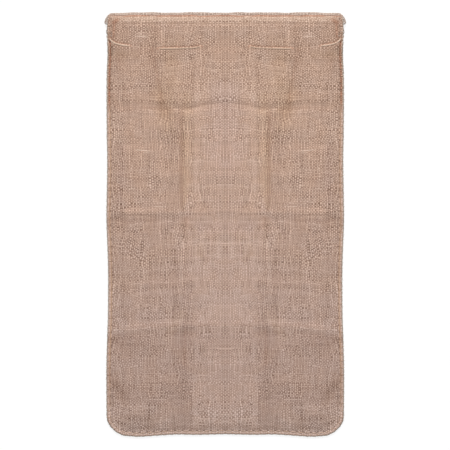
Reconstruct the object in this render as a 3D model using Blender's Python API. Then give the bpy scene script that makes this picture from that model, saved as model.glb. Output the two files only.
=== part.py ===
"""An empty jute sack lying flat, mouth towards +Y, its back panel on the plane z = 0.

Two panels of hessian meet round the sides and the bottom, where they are sewn, and stand apart at the mouth.
Each mouth edge is turned inwards as a hem, and one cord is threaded through both panels below the hems.
Sizes are in millimetres, and each mesh is scaled to metres as it is made.
"""

import math
from collections import namedtuple

import bmesh
import bpy
from mathutils import Matrix

MM = 0.001

# The cut: the mouth is at +Y, and x = 0 is the middle of the sack.
FRONT_MOUTH = 351.5
BACK_MOUTH = 357.5
BOTTOM = -353.3
BOTTOM_RADIUS = 30.0
MOUTH_RADIUS = 9.0
HALF_WIDTH = 200.0

# The cloth and its layers.
CLOTH = 1.3
PLY_GAP = 0.35
PLY = CLOTH + PLY_GAP
HEM_DEPTH = 13.5
HEM_BEND = PLY / 2

# Heights of the middle of the cloth.
BACK_LEVEL = CLOTH / 2
SEAM_LEVEL = BACK_LEVEL + PLY
MOUTH_SEAM_LEVEL = SEAM_LEVEL + 2 * PLY
FRONT_LEVEL = 11.9

# How the front panel rises from its seams.
SEAM_STRIP = 4.0
SIDE_RISE = 40.0
BOTTOM_RISE = 50.0
SEAM_LIFT_FROM = 284.0
SEAM_LIFT_RUN = 20.0

# The drawstring.
CORD_RADIUS = 1.25
CORD_GAP = 0.45
CORD_STEP = CLOTH / 2 + CORD_GAP + CORD_RADIUS
CORD_FLOOR_GAP = 0.15
BACK_CORD_Y = 300.0
BACK_CORD_STRAIGHT = 170.0
TURN_X = 191.0
THREADED_AT = (40.9, 111.7, 160.6)
THREAD_RUN = 4.4

# Where the cord goes through the cloth: half sizes of the gap between the yarns, along and across the cord.
FRONT_EYE = (4.9, 2.3)
BACK_EYE = (5.2, 2.2)
SIDE_EYE = (2.3, 2.3)
EYE_SIDES = 10
EYE_DEPTH = 8.0

Point = namedtuple("Point", "at value")
Crease = namedtuple("Crease", "y middle side reach drop")
Upright = namedtuple("Upright", "y x rise")

# Half width of the sack along its length.
SIDES = (
    Point(-353, 200.9),
    Point(-240, 201.3),
    Point(-185, 199.9),
    Point(-145, 198.2),
    Point(-90, 198.3),
    Point(-50, 199.2),
    Point(10, 201.2),
    Point(58, 200.6),
    Point(112, 199.2),
    Point(150, 200.0),
    Point(250, 200.2),
    Point(288, 198.7),
    Point(320, 199.5),
    Point(357, 199.6),
)

# How far the bottom seam hangs below its middle, across the sack, and how far up its rows follow it.
BOTTOM_SAG = (
    Point(0, 0.4),
    Point(50, 1.5),
    Point(80, 0.9),
    Point(105, 2.2),
    Point(145, 4.7),
    Point(165, 3.4),
    Point(178, 1.9),
    Point(190, 0.0),
)
BOTTOM_SAG_RUN = 110.0

# The drawstring's place along the front panel.
CORD_LINE = (
    Point(0, 301.0),
    Point(30, 301.0),
    Point(41, 300.0),
    Point(52, 297.3),
    Point(72, 296.8),
    Point(94, 297.2),
    Point(112, 300.0),
    Point(136, 301.8),
    Point(161, 302.0),
    Point(173, 303.4),
    Point(184, 306.6),
    Point(191, 310.8),
    Point(194, 313.2),
)

# Folds across the sack: height in the middle and at the sides, and how far the fold drops from middle to side.
CREASES = (
    Crease(-169.5, 1.6, 1.9, 13.0, 9.0),
    Crease(21.0, 1.1, 1.9, 12.0, 2.0),
    Crease(134.0, -0.6, -0.9, 14.0, 0.0),
    Crease(199.7, -1.8, -1.5, 12.0, 0.0),
)

# The fold along the sack on each side of the middle: its place and height from the mouth to the bottom.
UPRIGHTS = (
    Upright(357, 124.0, 0.0),
    Upright(325, 124.0, -0.3),
    Upright(297, 123.4, -1.0),
    Upright(268, 120.0, -1.3),
    Upright(200, 105.0, -1.4),
    Upright(180, 84.0, -0.9),
    Upright(60, 80.0, -0.8),
    Upright(14, 79.0, -0.3),
    Upright(-35, 75.0, 1.4),
    Upright(-128, 74.0, 1.5),
    Upright(-160, 64.0, 0.6),
    Upright(-184, 70.0, -1.5),
    Upright(-353, 70.5, -1.7),
)
UPRIGHT_REACH = 10.0

# Dents in the front panel: along the hem's stitches, and where the drawstring draws the cloth in.
HEM_DENT = 0.5
HEM_DENT_REACH = 5.5
CORD_DENT = 0.8
CORD_DENT_REACH = 18.0

# The back panel lies flat, with the same folds as low ridges.
BACK_RIDGE = 0.9
BACK_REACH = 11.0
BACK_UPRIGHT_X = 75.0
BACK_UPRIGHT_ENDS = (255.0, 275.0)
BACK_FADE = (8.0, 30.0)
BACK_LIFT = CORD_FLOOR_GAP + CORD_RADIUS + CORD_STEP - BACK_LEVEL
BACK_LIFT_TOP = 3.0
BACK_LIFT_FOOT = 13.0

# The slack of the front panel: soft swells, each with its height and its wavelengths along x and y.
SWELLS = ((0.22, 61.0, 83.0), (0.15, 37.0, 49.0), (0.10, 95.0, 31.0))

JUTE = (0.479, 0.332, 0.266, 1.0)
JUTE_CORD = (0.60, 0.44, 0.33, 1.0)


def smooth(value):
    """0 to 1 with a soft start and end."""
    held = min(1.0, max(0.0, value))
    return held * held * (3.0 - 2.0 * held)


def along(table, at):
    """Reads a table of (at, value) rows as one smooth curve."""
    rows = sorted(table)
    if at <= rows[0][0]:
        return rows[0][1]
    if at >= rows[-1][0]:
        return rows[-1][1]
    k = next(i for i, row in enumerate(rows) if row[0] > at) - 1
    before, low, high, after = rows[max(k - 1, 0)], rows[k], rows[k + 1], rows[min(k + 2, len(rows) - 1)]
    span = high[0] - low[0]
    t = (at - low[0]) / span
    slope_low = (high[1] - before[1]) / (high[0] - before[0]) * span
    slope_high = (after[1] - low[1]) / (after[0] - low[0]) * span
    return (
        (2 * t**3 - 3 * t**2 + 1) * low[1]
        + (t**3 - 2 * t**2 + t) * slope_low
        + (3 * t**2 - 2 * t**3) * high[1]
        + (t**3 - t**2) * slope_high
    )


def half_width(y, mouth):
    """Half the sack's width at y, with its corners rounded at the bottom and at this panel's mouth."""
    side = along(SIDES, y)
    into_bottom = min(BOTTOM_RADIUS, max(0.0, BOTTOM_RADIUS - (y - BOTTOM)))
    into_mouth = min(MOUTH_RADIUS, max(0.0, MOUTH_RADIUS - (mouth - y)))
    side -= BOTTOM_RADIUS - math.sqrt(BOTTOM_RADIUS**2 - into_bottom**2)
    side -= MOUTH_RADIUS - math.sqrt(MOUTH_RADIUS**2 - into_mouth**2)
    return side


def bottom_sag(x, y):
    """How far a row near the bottom hangs below where it is in the middle of the sack."""
    return along(BOTTOM_SAG, abs(x)) * (1.0 - smooth((y - BOTTOM) / BOTTOM_SAG_RUN))


def crease_drop(x, y):
    """How far a row at y drops at x, so that it follows the folds across the sack."""
    drops = [Point(BOTTOM, 0.0), *(Point(crease.y, crease.drop) for crease in CREASES)]
    return along(drops, y) * (x / HALF_WIDTH) ** 2


def fold(distance, reach):
    """The section of a fold: 1 on its line, 0 from its reach outwards."""
    return max(0.0, 1.0 - abs(distance) / reach) ** 1.5


def front_cord_y(x):
    return along(CORD_LINE, abs(x))


def upright_x(y):
    return along([(row.y, row.x) for row in UPRIGHTS], y)


def front_folds(x, y):
    """Height that the folds add to the front panel: the highest ridge and the deepest valley at this place."""
    out = abs(x) / HALF_WIDTH
    uneven = 1.0 + 0.18 * math.sin(x / 29.0 + y / 71.0)
    heights = [0.0]
    for crease in CREASES:
        rise = crease.middle + (crease.side - crease.middle) * smooth(out)
        heights.append(uneven * rise * fold(y - crease.y + crease.drop * out**2, crease.reach))
    rise = along([(row.y, row.rise) for row in UPRIGHTS], y)
    heights.append(uneven * rise * fold(abs(x) - upright_x(y), UPRIGHT_REACH))
    return max(heights) + min(heights)


def front_height(x, y):
    """Height of the middle of the front panel's cloth."""
    from_side = (half_width(y, math.inf) - abs(x) - SEAM_STRIP) / SIDE_RISE
    from_bottom = (y + bottom_sag(x, y) - BOTTOM - SEAM_STRIP) / BOTTOM_RISE
    held = [min(1.0, max(0.0, part)) for part in (from_side, from_bottom)]
    rise = held[0] * (2.0 - held[0]) * held[1] * (2.0 - held[1])
    seam = SEAM_LEVEL + (MOUTH_SEAM_LEVEL - SEAM_LEVEL) * smooth((y - SEAM_LIFT_FROM) / SEAM_LIFT_RUN)
    swell = sum(h * math.sin(x / wx) * math.cos(y / wy + wx) for h, wx, wy in SWELLS)
    dents = CORD_DENT * fold(y - front_cord_y(x), CORD_DENT_REACH)
    dents += HEM_DENT * fold(y - FRONT_MOUTH + HEM_DEPTH, HEM_DENT_REACH)
    return seam + rise * (FRONT_LEVEL - seam + front_folds(x, y) + swell - dents)


def threaded(x):
    """Where the cord is at x: 1 above a panel, -1 below it, and between them while it goes through."""
    side = -1.0
    for turn, at in enumerate(THREADED_AT):
        step = smooth((abs(x) - at + THREAD_RUN) / (2 * THREAD_RUN))
        side += 2.0 * step if turn % 2 == 0 else -2.0 * step
    return side


def back_height(x, y):
    """Height of the middle of the back panel's cloth, flat but for its folds and where the cord runs under it."""
    from_edge = min(half_width(y, math.inf) - abs(x), y - BOTTOM)
    fade = smooth((from_edge - BACK_FADE[0]) / (BACK_FADE[1] - BACK_FADE[0]))
    ridges = [fold(y - crease.y, BACK_REACH) for crease in CREASES]
    first, last = BACK_UPRIGHT_ENDS
    ridges.append(fold(abs(x) - BACK_UPRIGHT_X, BACK_REACH) * (1.0 - smooth((y - first) / (last - first))))
    under = (1.0 - threaded(x)) / 2.0
    across = 1.0 - smooth((abs(y - BACK_CORD_Y) - BACK_LIFT_TOP) / (BACK_LIFT_FOOT - BACK_LIFT_TOP))
    return BACK_LEVEL + fade * BACK_RIDGE * max(ridges) + BACK_LIFT * under * across


def around(places, offsets):
    """The places with neighbours at these offsets on both sides of each."""
    return [place + side * offset for place in places for offset in offsets for side in (-1, 1)] + list(places)


def front_columns(y):
    """Where the front panel's grid lines cross a row: closer beside the upright folds and the seams."""
    fold_x = upright_x(y)
    side = half_width(y, FRONT_MOUTH)
    half = [fold_x * part for part in (0.28, 0.56, 0.8)]
    half += around([fold_x], (4.0, 9.0))
    last, shoulder = fold_x + 9.0, side - 44.0
    half += [last + (shoulder - last) * 0.5]
    half += [side - inset for inset in (44.0, 30.0, 19.0, 10.0, 4.0, 0.0)]
    half.sort()
    return [-x for x in reversed(half)] + [0.0] + half


def back_columns(y):
    """Where the back panel's grid lines cross a row: closer where the cord goes through and beside the folds."""
    side = half_width(y, BACK_MOUTH)
    half = [20.0, *around(THREADED_AT, (THREAD_RUN,)), *around([BACK_UPRIGHT_X], (BACK_REACH / 2, BACK_REACH))]
    half += [136.0, side - 24.0, side - 8.0, side]
    half.sort()
    return [-x for x in reversed(half)] + [0.0] + half


def front_rows():
    """Where the front panel's rows lie, from the bottom seam to the hem's bend."""
    corner = [BOTTOM + step for step in (0.0, 0.6, 2.5, 7.0, 14.0, 25.0)]
    creases = around([crease.y for crease in CREASES], (5.0, 12.0))
    fields = [-300.0, -264.0, -228.0, -198.0, -125.0, -85.0, -45.0, -12.0, 60.0, 96.0, 166.0, 232.0, 258.0]
    mouth = [278.0, 288.0, 297.0, 306.0, 320.0, *around([FRONT_MOUTH - HEM_DEPTH], (HEM_DENT_REACH,))]
    return sorted(corner + creases + fields + mouth)


def back_rows():
    """Where the back panel's rows lie, from the bottom seam to the hem's bend."""
    corner = [BOTTOM + step for step in (0.0, 0.6, 2.5, 7.0, 14.0, 25.0, 38.0)]
    creases = around([crease.y for crease in CREASES], (BACK_REACH / 2, BACK_REACH))
    lift = around([BACK_CORD_Y], (BACK_LIFT_TOP, (BACK_LIFT_TOP + BACK_LIFT_FOOT) / 2, BACK_LIFT_FOOT))
    return sorted(corner + creases + list(BACK_UPRIGHT_ENDS) + lift + [BACK_MOUTH - HEM_DEPTH, BACK_MOUTH - 6.0])


def hem_profile(mouth):
    """The hem's section: (y, distance from the outer layer) round the bend and back under it."""
    centre = mouth - CLOTH / 2 - HEM_BEND
    bend = [math.radians(angle) for angle in (0, 45, 90, 135, 180)]
    rows = [(centre + HEM_BEND * math.sin(angle), HEM_BEND * (1.0 - math.cos(angle))) for angle in bend]
    return rows + [(centre - 5.0, PLY), (mouth - HEM_DEPTH + 1.0, PLY)]


def material(name, colour):
    made = bpy.data.materials.new(name)
    made.use_nodes = True
    shader = made.node_tree.nodes["Principled BSDF"]
    shader.inputs["Base Color"].default_value = colour
    shader.inputs["Roughness"].default_value = 0.95
    shader.inputs["Metallic"].default_value = 0.0
    return made


def add_object(name, data, finish):
    made = bpy.data.objects.new(name, data)
    bpy.context.scene.collection.objects.link(made)
    data.materials.append(finish)
    return made


def panel_mesh(name, rows, columns, height, mouth, turn):
    """One panel as a single surface: its rows from the bottom to the mouth, then its hem turned to the inside."""
    grid = []
    for v in rows:
        row = [(x, v - bottom_sag(x, v) - crease_drop(x, v)) for x in columns(v)]
        grid.append([(x, y, height(x, y)) for x, y in row])
    for y, depth in hem_profile(mouth):
        level_y = min(y, mouth - CLOTH)
        grid.append([(x, y, height(x, level_y) + turn * depth) for x in columns(mouth)])
    shell = bmesh.new()
    verts = [[shell.verts.new([MM * part for part in place]) for place in row] for row in grid]
    for low, high in zip(verts, verts[1:]):
        for k in range(len(low) - 1):
            shell.faces.new((low[k], low[k + 1], high[k + 1], high[k]))
    mesh = bpy.data.meshes.new(name)
    shell.to_mesh(mesh)
    shell.free()
    mesh.shade_smooth()
    return mesh


def eye_cutter(name, eyes, height):
    """The gaps that the cord goes through, each an upright oval cut turned along the cord."""
    shell = bmesh.new()
    for x, y, heading, (long, wide) in eyes:
        place = Matrix.Translation((x * MM, y * MM, height(x, y) * MM))
        shape = place @ Matrix.Rotation(heading, 4, "Z") @ Matrix.Diagonal((long * MM, wide * MM, MM, 1.0))
        bmesh.ops.create_cone(
            shell, cap_ends=True, segments=EYE_SIDES, radius1=1.0, radius2=1.0, depth=EYE_DEPTH, matrix=shape
        )
    mesh = bpy.data.meshes.new(name)
    shell.to_mesh(mesh)
    shell.free()
    cutter = bpy.data.objects.new(name, mesh)
    cutter.hide_render = True
    cutter.display_type = "WIRE"
    bpy.context.scene.collection.objects.link(cutter)
    return cutter


def front_eyes():
    eyes = []
    for side in (-1, 1):
        for x in THREADED_AT:
            slope = along(CORD_LINE, x + 1.0) - along(CORD_LINE, x - 1.0)
            eyes.append((side * x, along(CORD_LINE, x), side * math.atan2(slope, 2.0), FRONT_EYE))
        out = TURN_X + turn_radius()
        eyes.append((side * out, along(CORD_LINE, out), 0.0, SIDE_EYE))
    return eyes


def back_eyes():
    return [(side * x, BACK_CORD_Y, 0.0, BACK_EYE) for side in (-1, 1) for x in THREADED_AT]


def add_panel(name, mesh, cutter, finish):
    panel = add_object(name, mesh, finish)
    ply = panel.modifiers.new("ply", "SOLIDIFY")
    ply.thickness = CLOTH * MM
    ply.offset = 0.0
    ply.use_even_offset = True
    eyes = panel.modifiers.new("eyes", "BOOLEAN")
    eyes.operation = "DIFFERENCE"
    eyes.solver = "EXACT"
    eyes.object = cutter
    return panel


def back_cord_y(x):
    """Straight along the back, then out to where the cord turns round to the front."""
    turning = smooth((abs(x) - BACK_CORD_STRAIGHT) / (TURN_X - BACK_CORD_STRAIGHT))
    return BACK_CORD_Y + (front_cord_y(TURN_X) - BACK_CORD_Y) * turning


def front_cord_z(x):
    return front_height(x, front_cord_y(x)) + threaded(x) * CORD_STEP


def back_cord_z(x):
    inside = BACK_LEVEL + CORD_STEP
    under = CORD_FLOOR_GAP + CORD_RADIUS
    return under + (inside - under) * (1.0 + threaded(x)) / 2.0


def turn_radius():
    return (front_cord_z(TURN_X) - back_cord_z(TURN_X)) / 2


def cord_stations():
    """Where the cord's points lie across the sack, closer where it goes through the cloth."""
    half = around(THREADED_AT, (THREAD_RUN / 2, THREAD_RUN))
    half += [13.0, 26.0, 56.0, 69.0, 82.0, 96.0, 126.0, 142.0, 172.0, 179.0, 185.0, 188.0, TURN_X]
    half.sort()
    return [-x for x in reversed(half)] + [0.0] + half


def side_turn(side):
    """The cord's half turn round the edge of the side eye, from the front to the back."""
    radius = turn_radius()
    middle = (front_cord_z(TURN_X) + back_cord_z(TURN_X)) / 2
    points = []
    for angle in (36, 72, 108, 144):
        reach = radius * math.sin(math.radians(angle))
        y = front_cord_y(TURN_X + reach)
        points.append((side * (TURN_X + reach), y, middle + radius * math.cos(math.radians(angle))))
    return points


def cord_route():
    """The drawstring's centre line, once round the mouth."""
    stations = cord_stations()
    front = [(x, front_cord_y(x), front_cord_z(x)) for x in stations]
    back = [(x, back_cord_y(x), back_cord_z(x)) for x in reversed(stations)]
    return front + side_turn(1) + back + list(reversed(side_turn(-1)))


def add_drawstring(finish):
    curve = bpy.data.curves.new("drawstring", "CURVE")
    curve.dimensions = "3D"
    curve.bevel_depth = CORD_RADIUS * MM
    curve.bevel_resolution = 2
    route = cord_route()
    line = curve.splines.new("POLY")
    line.points.add(len(route) - 1)
    for point, place in zip(line.points, route):
        point.co = (*[MM * part for part in place], 1.0)
    line.use_cyclic_u = True
    return add_object("drawstring", curve, finish)


def main():
    for old in list(bpy.data.objects):
        bpy.data.objects.remove(old, do_unlink=True)
    cloth = material("jute_cloth", JUTE)
    front_mesh = panel_mesh("front_panel", front_rows(), front_columns, front_height, FRONT_MOUTH, -1)
    back_mesh = panel_mesh("back_panel", back_rows(), back_columns, back_height, BACK_MOUTH, 1)
    add_panel("front_panel", front_mesh, eye_cutter("front_eyes", front_eyes(), front_height), cloth)
    back = add_panel("back_panel", back_mesh, eye_cutter("back_eyes", back_eyes(), back_height), cloth)
    flat = back.modifiers.new("flat", "DECIMATE")
    flat.decimate_type = "DISSOLVE"
    flat.angle_limit = math.radians(0.3)
    add_drawstring(material("jute_cord", JUTE_CORD))


main()
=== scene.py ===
# A jute drawstring sack, empty and lying flat with its mouth towards +Y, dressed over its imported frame.
import math

import bpy
import numpy as np
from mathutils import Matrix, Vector, kdtree, noise
from mathutils.bvhtree import BVHTree


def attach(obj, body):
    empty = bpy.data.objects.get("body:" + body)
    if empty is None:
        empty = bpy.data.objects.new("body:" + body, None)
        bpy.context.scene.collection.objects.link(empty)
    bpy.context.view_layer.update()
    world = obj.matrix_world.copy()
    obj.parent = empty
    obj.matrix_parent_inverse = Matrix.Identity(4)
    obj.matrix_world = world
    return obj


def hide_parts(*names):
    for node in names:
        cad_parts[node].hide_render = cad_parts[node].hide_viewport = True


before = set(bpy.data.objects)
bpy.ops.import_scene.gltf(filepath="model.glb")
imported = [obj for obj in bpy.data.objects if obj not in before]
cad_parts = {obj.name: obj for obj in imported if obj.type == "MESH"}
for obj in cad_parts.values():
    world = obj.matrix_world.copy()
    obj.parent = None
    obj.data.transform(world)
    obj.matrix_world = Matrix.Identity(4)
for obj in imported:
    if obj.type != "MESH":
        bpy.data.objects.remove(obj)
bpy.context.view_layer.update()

mm = 0.001  # tables and shapes below are in millimetres, meshes in metres


# floor, camera and lights

studio = {
    "floorSize": 8.0,
    "floorLevel": -0.7,  # just under the stitches on the underside
    "floorColour": (0.12, 0.12, 0.12, 1.0),
    "floorGlow": 0.865,  # a lit white sweep, so shadows stay soft
    "cameraPlace": (-0.0004, -0.0009, 4.5),
    "lens": 213.5,
    "sensor": 36.0,
    "skyStrength": 0.50,
    "keyHeight": 42.0,  # degrees above the floor
    "keyDistance": 3.0,
    "keySpread": 16.0,
    "keyPower": 2.6,
    "topPlace": (0.0, 1.3, 1.1),
    "topAim": (0.0, 0.3, 0.0),
    "topSize": 0.8,
    "topPower": 6.0,
}


def deselectAll():
    bpy.ops.object.select_all(action="DESELECT")


def newMaterial(name, values):
    made = bpy.data.materials.new(name)
    made.use_nodes = True
    shader = made.node_tree.nodes["Principled BSDF"]
    for socket, value in values.items():
        shader.inputs[socket].default_value = value
    return made, made.node_tree, shader


def aimAt(thing, target):
    thing.rotation_euler = (Vector(target) - thing.location).to_track_quat("-Z", "Y").to_euler()


def buildStudio():
    deselectAll()
    bpy.ops.mesh.primitive_plane_add(size=studio["floorSize"], location=(0, 0, studio["floorLevel"] * mm))
    floor = bpy.context.active_object
    floor.name = "floor"
    white = (1.0, 1.0, 1.0, 1.0)
    paper = {"Base Color": studio["floorColour"], "Roughness": 0.9, "Emission Color": white}
    paper["Emission Strength"] = studio["floorGlow"]
    floor.data.materials.append(newMaterial("floorPaper", paper)[0])

    bpy.ops.object.camera_add(location=studio["cameraPlace"], rotation=(0.0, 0.0, 0.0))
    camera = bpy.context.active_object
    camera.name = "camera"
    camera.data.lens = studio["lens"]
    camera.data.sensor_width = studio["sensor"]
    bpy.context.scene.camera = camera

    tilt, away = math.radians(studio["keyHeight"]), studio["keyDistance"]
    bpy.ops.object.light_add(type="SUN", location=(0.0, away * math.cos(tilt), away * math.sin(tilt)))
    key = bpy.context.active_object
    key.name = "keyLight"
    key.data.angle = math.radians(studio["keySpread"])
    key.data.energy = studio["keyPower"]
    aimAt(key, (0, 0, 0))
    bpy.ops.object.light_add(type="AREA", location=studio["topPlace"])
    top = bpy.context.active_object
    top.name = "topLight"
    top.data.shape = "DISK"
    top.data.size = studio["topSize"]
    top.data.energy = studio["topPower"]
    aimAt(top, studio["topAim"])

    world = bpy.data.worlds.new("studioSky")
    world.use_nodes = True
    sky = world.node_tree.nodes["Background"]
    sky.inputs["Color"].default_value = white
    sky.inputs["Strength"].default_value = studio["skyStrength"]
    bpy.context.scene.world = world
    bpy.context.scene.view_settings.view_transform = "Standard"
    print("studio ready")


# the sack's shape, the same folds as the frame's panels

sack = {
    "frontMouth": 351.5,
    "backMouth": 357.5,
    "bottom": -353.3,
    "bottomRadius": 32.5,
    "mouthRadius": 9.0,
    "halfWidth": 200.0,
    "cloth": 1.2,
    "ply": 1.65,  # cloth and the gap to the next layer
    "hemDepth": 13.5,
    "backLevel": 0.65,
    "frontLevel": 11.9,
    "seamStrip": 4.0,
    "sideRise": 40.0,
    "bottomRise": 50.0,
    "seamLiftFrom": 284.0,
    "seamLiftRun": 20.0,
    # half width: place along the sack, distance from the middle
    "sides": (
        (-353, 200.0), (-240, 200.7), (-185, 199.4), (-145, 198.1), (-90, 197.7), (-50, 198.3), (10, 200.5),
        (58, 199.9), (112, 199.2), (150, 200.0), (250, 200.2), (288, 198.7), (320, 199.5), (357, 199.6),
    ),
    # how far the bottom hangs below its line: distance from the middle, sag
    "bottomSag": (
        (0, 0.4), (50, 1.5), (80, 0.9), (105, 2.2), (145, 4.7), (165, 3.4), (178, 1.9), (190, 0.0),
    ),
    "bottomSagRun": 110.0,
    # folds across the sack: place, height in the middle, height at the sides, reach, drop from middle to side
    "creases": (
        (-169.5, 1.6, 1.9, 13.0, 9.0),
        (21.0, 1.1, 1.9, 12.0, 2.0),
        (134.0, -0.6, -0.9, 14.0, 0.0),
        (199.7, -1.8, -1.5, 12.0, 0.0),
    ),
    # the topmost fold bows up in the middle: distance from the middle, shift
    "bow": ((0, 3.4), (30, 1.8), (58, -4.0), (76, -4.6), (96, 0.0), (205, 0.4)),
    # the fold along each half: place along the sack, distance from the middle, height
    "uprights": (
        (357, 124.0, 0.0), (325, 124.0, -0.3), (297, 123.4, -1.0), (268, 120.0, -1.3), (200, 105.0, -1.4),
        (180, 84.0, -0.9), (60, 80.0, -0.8), (14, 79.0, -0.3), (-35, 75.0, 1.4), (-128, 74.0, 1.5),
        (-160, 64.0, 0.6), (-184, 70.0, -1.5), (-353, 70.5, -1.7),
    ),
    "uprightReach": 10.0,
    "unevenFolds": (0.18, 29.0, 71.0),  # share of the height, and size across and along
    "hemDent": 0.5,
    "hemDentReach": 5.5,
    "cordDent": 0.8,
    "cordDentReach": 18.0,
    "swells": ((0.22, 61.0, 83.0), (0.15, 37.0, 49.0), (0.10, 95.0, 31.0)),
    "backRidge": 0.9,
    "backReach": 11.0,
    "backUprightX": 75.0,
    "backUprightEnds": (255.0, 275.0),
    "backFade": (8.0, 30.0),
    "stitchPitch": 12.0,
}

cordRoute = {
    "radius": 1.25,
    "gap": 0.45,
    "panelHalf": 0.65,  # half the thickness of the frame's panels
    "floorGap": 0.15,
    "backY": 300.0,
    "backStraight": 170.0,
    "turnX": 191.0,
    "threadedAt": (40.9, 111.7, 160.6),
    "threadRun": 4.4,
    "line": (
        (0, 300.5), (30, 300.2), (41, 299.0), (52, 296.8), (72, 296.0), (94, 295.4), (112, 295.6),
        (136, 298.4), (161, 300.2), (173, 301.6), (184, 304.4), (190, 307.6), (194, 312.0),
    ),
    "liftTop": 3.0,
    "liftFoot": 13.0,
}
seamLevel = sack["backLevel"] + sack["ply"]
mouthSeamLevel = seamLevel + 2 * sack["ply"]
cordStep = cordRoute["panelHalf"] + cordRoute["gap"] + cordRoute["radius"]
backLift = cordRoute["floorGap"] + cordRoute["radius"] + cordStep - sack["backLevel"]


def smooth(value):  # 0 to 1 with a soft start and end
    held = np.clip(value, 0.0, 1.0)
    return held * held * (3.0 - 2.0 * held)


def bell(distance, reach):  # 1 in the middle, softly down to 0 at the reach
    return 1.0 - smooth(np.abs(distance) / reach)


def window(value, low, high, soft):  # 1 between low and high, with soft ends
    return smooth((value - low) / soft + 0.5) * smooth((high - value) / soft + 0.5)


def along(table, at):  # a table of (place, value) rows read as one smooth curve
    rows = np.array(sorted(table), float)
    places, values = rows[:, 0], rows[:, 1]
    at = np.clip(np.asarray(at, float), places[0], places[-1])
    low = np.clip(np.searchsorted(places, at, side="right") - 1, 0, len(places) - 2)
    high = low + 1
    before, after = np.maximum(low - 1, 0), np.minimum(low + 2, len(places) - 1)
    span = places[high] - places[low]
    t = (at - places[low]) / span
    slopeLow = (values[high] - values[before]) / (places[high] - places[before]) * span
    slopeHigh = (values[after] - values[low]) / (places[after] - places[low]) * span
    start = (2 * t**3 - 3 * t**2 + 1) * values[low] + (t**3 - 2 * t**2 + t) * slopeLow
    return start + (3 * t**2 - 2 * t**3) * values[high] + (t**3 - t**2) * slopeHigh


def halfWidth(y, mouth):
    side = along(sack["sides"], y)
    for radius, reach in ((sack["bottomRadius"], y - sack["bottom"]), (sack["mouthRadius"], mouth - y)):
        into = np.clip(radius - reach, 0.0, radius)
        side = side - radius + np.sqrt(radius**2 - into**2)
    return side


def bottomSag(x, y):
    return along(sack["bottomSag"], np.abs(x)) * (1.0 - smooth((y - sack["bottom"]) / sack["bottomSagRun"]))


def creaseDrop(x, y):
    drops = [(sack["bottom"], 0.0)] + [(crease[0], crease[4]) for crease in sack["creases"]]
    return along(drops, y) * (x / sack["halfWidth"]) ** 2


def bowed(place, x):
    # shift of a fold across the sack; only the topmost one is bowed
    return along(sack["bow"], np.abs(x)) if place == sack["creases"][-1][0] else 0.0


def awayFrom(crease, x, y):
    place, _, _, _, drop = crease
    return y - place - bowed(place, x) + drop * (np.abs(x) / sack["halfWidth"]) ** 2


def fold(distance, reach):
    return np.clip(1.0 - np.abs(distance) / reach, 0.0, 1.0) ** 1.5


def frontCordY(x):
    return along(cordRoute["line"], np.abs(x))


def uprightX(y):
    return along([row[:2] for row in sack["uprights"]], y)


def frontFolds(x, y):
    out = np.abs(x) / sack["halfWidth"]
    share, sizeX, sizeY = sack["unevenFolds"]
    uneven = 1.0 + share * np.sin(x / sizeX + y / sizeY)
    heights = [np.zeros_like(out)]
    for crease in sack["creases"]:
        _, middle, side, reach, _ = crease
        height = uneven * (middle + (side - middle) * smooth(out))
        heights.append(height * fold(awayFrom(crease, x, y), reach))
    rise = along([(row[0], row[2]) for row in sack["uprights"]], y)
    heights.append(uneven * rise * fold(np.abs(x) - uprightX(y), sack["uprightReach"]))
    return np.maximum.reduce(heights) + np.minimum.reduce(heights)


def seamRise(x, y):
    # 0 on the seams, 1 where the front panel lies at its full height
    fromSide = (halfWidth(y, math.inf) - np.abs(x) - sack["seamStrip"]) / sack["sideRise"]
    fromBottom = (y + bottomSag(x, y) - sack["bottom"] - sack["seamStrip"]) / sack["bottomRise"]
    a, b = np.clip(fromSide, 0.0, 1.0), np.clip(fromBottom, 0.0, 1.0)
    return a * (2.0 - a) * b * (2.0 - b)


def frontHeight(x, y):
    lift = smooth((y - sack["seamLiftFrom"]) / sack["seamLiftRun"])
    seam = seamLevel + (mouthSeamLevel - seamLevel) * lift
    swell = sum(h * np.sin(x / wx) * np.cos(y / wy + wx) for h, wx, wy in sack["swells"])
    dents = sack["cordDent"] * fold(y - frontCordY(x), sack["cordDentReach"])
    dents = dents + sack["hemDent"] * fold(y - sack["frontMouth"] + sack["hemDepth"], sack["hemDentReach"])
    return seam + seamRise(x, y) * (sack["frontLevel"] - seam + frontFolds(x, y) + swell - dents)


def threaded(x):
    # 1 where the cord lies above a panel, -1 where it lies below
    side, run = -1.0, cordRoute["threadRun"]
    for turn, place in enumerate(cordRoute["threadedAt"]):
        side = side + (2.0 if turn % 2 == 0 else -2.0) * smooth((np.abs(x) - place + run) / (2 * run))
    return side


def backHeight(x, y):
    fromEdge = np.minimum(halfWidth(y, math.inf) - np.abs(x), y - sack["bottom"])
    first, last = sack["backFade"]
    fade = smooth((fromEdge - first) / (last - first))
    ridges = [fold(y - crease[0], sack["backReach"]) for crease in sack["creases"]]
    first, last = sack["backUprightEnds"]
    upright = fold(np.abs(x) - sack["backUprightX"], sack["backReach"])
    upright = upright * (1.0 - smooth((y - first) / (last - first)))
    top, foot = cordRoute["liftTop"], cordRoute["liftFoot"]
    across = 1.0 - smooth((np.abs(y - cordRoute["backY"]) - top) / (foot - top))
    lift = backLift * (1.0 - threaded(x)) / 2.0 * across
    return sack["backLevel"] + fade * sack["backRidge"] * np.maximum.reduce(ridges + [upright]) + lift


# the seam line: distance along it from the middle of the bottom, and distance in from it

seam = {
    "step": 0.25,
    "cornerRun": 30.0,  # closest points on the way round the corner
    "cornerPoints": 60,
    "sideLength": 711.0,
    "closest": 0.02,
    "width": 26.0,
    "scallop": 0.7,
    "scallopReach": 7.0,
}


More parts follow.
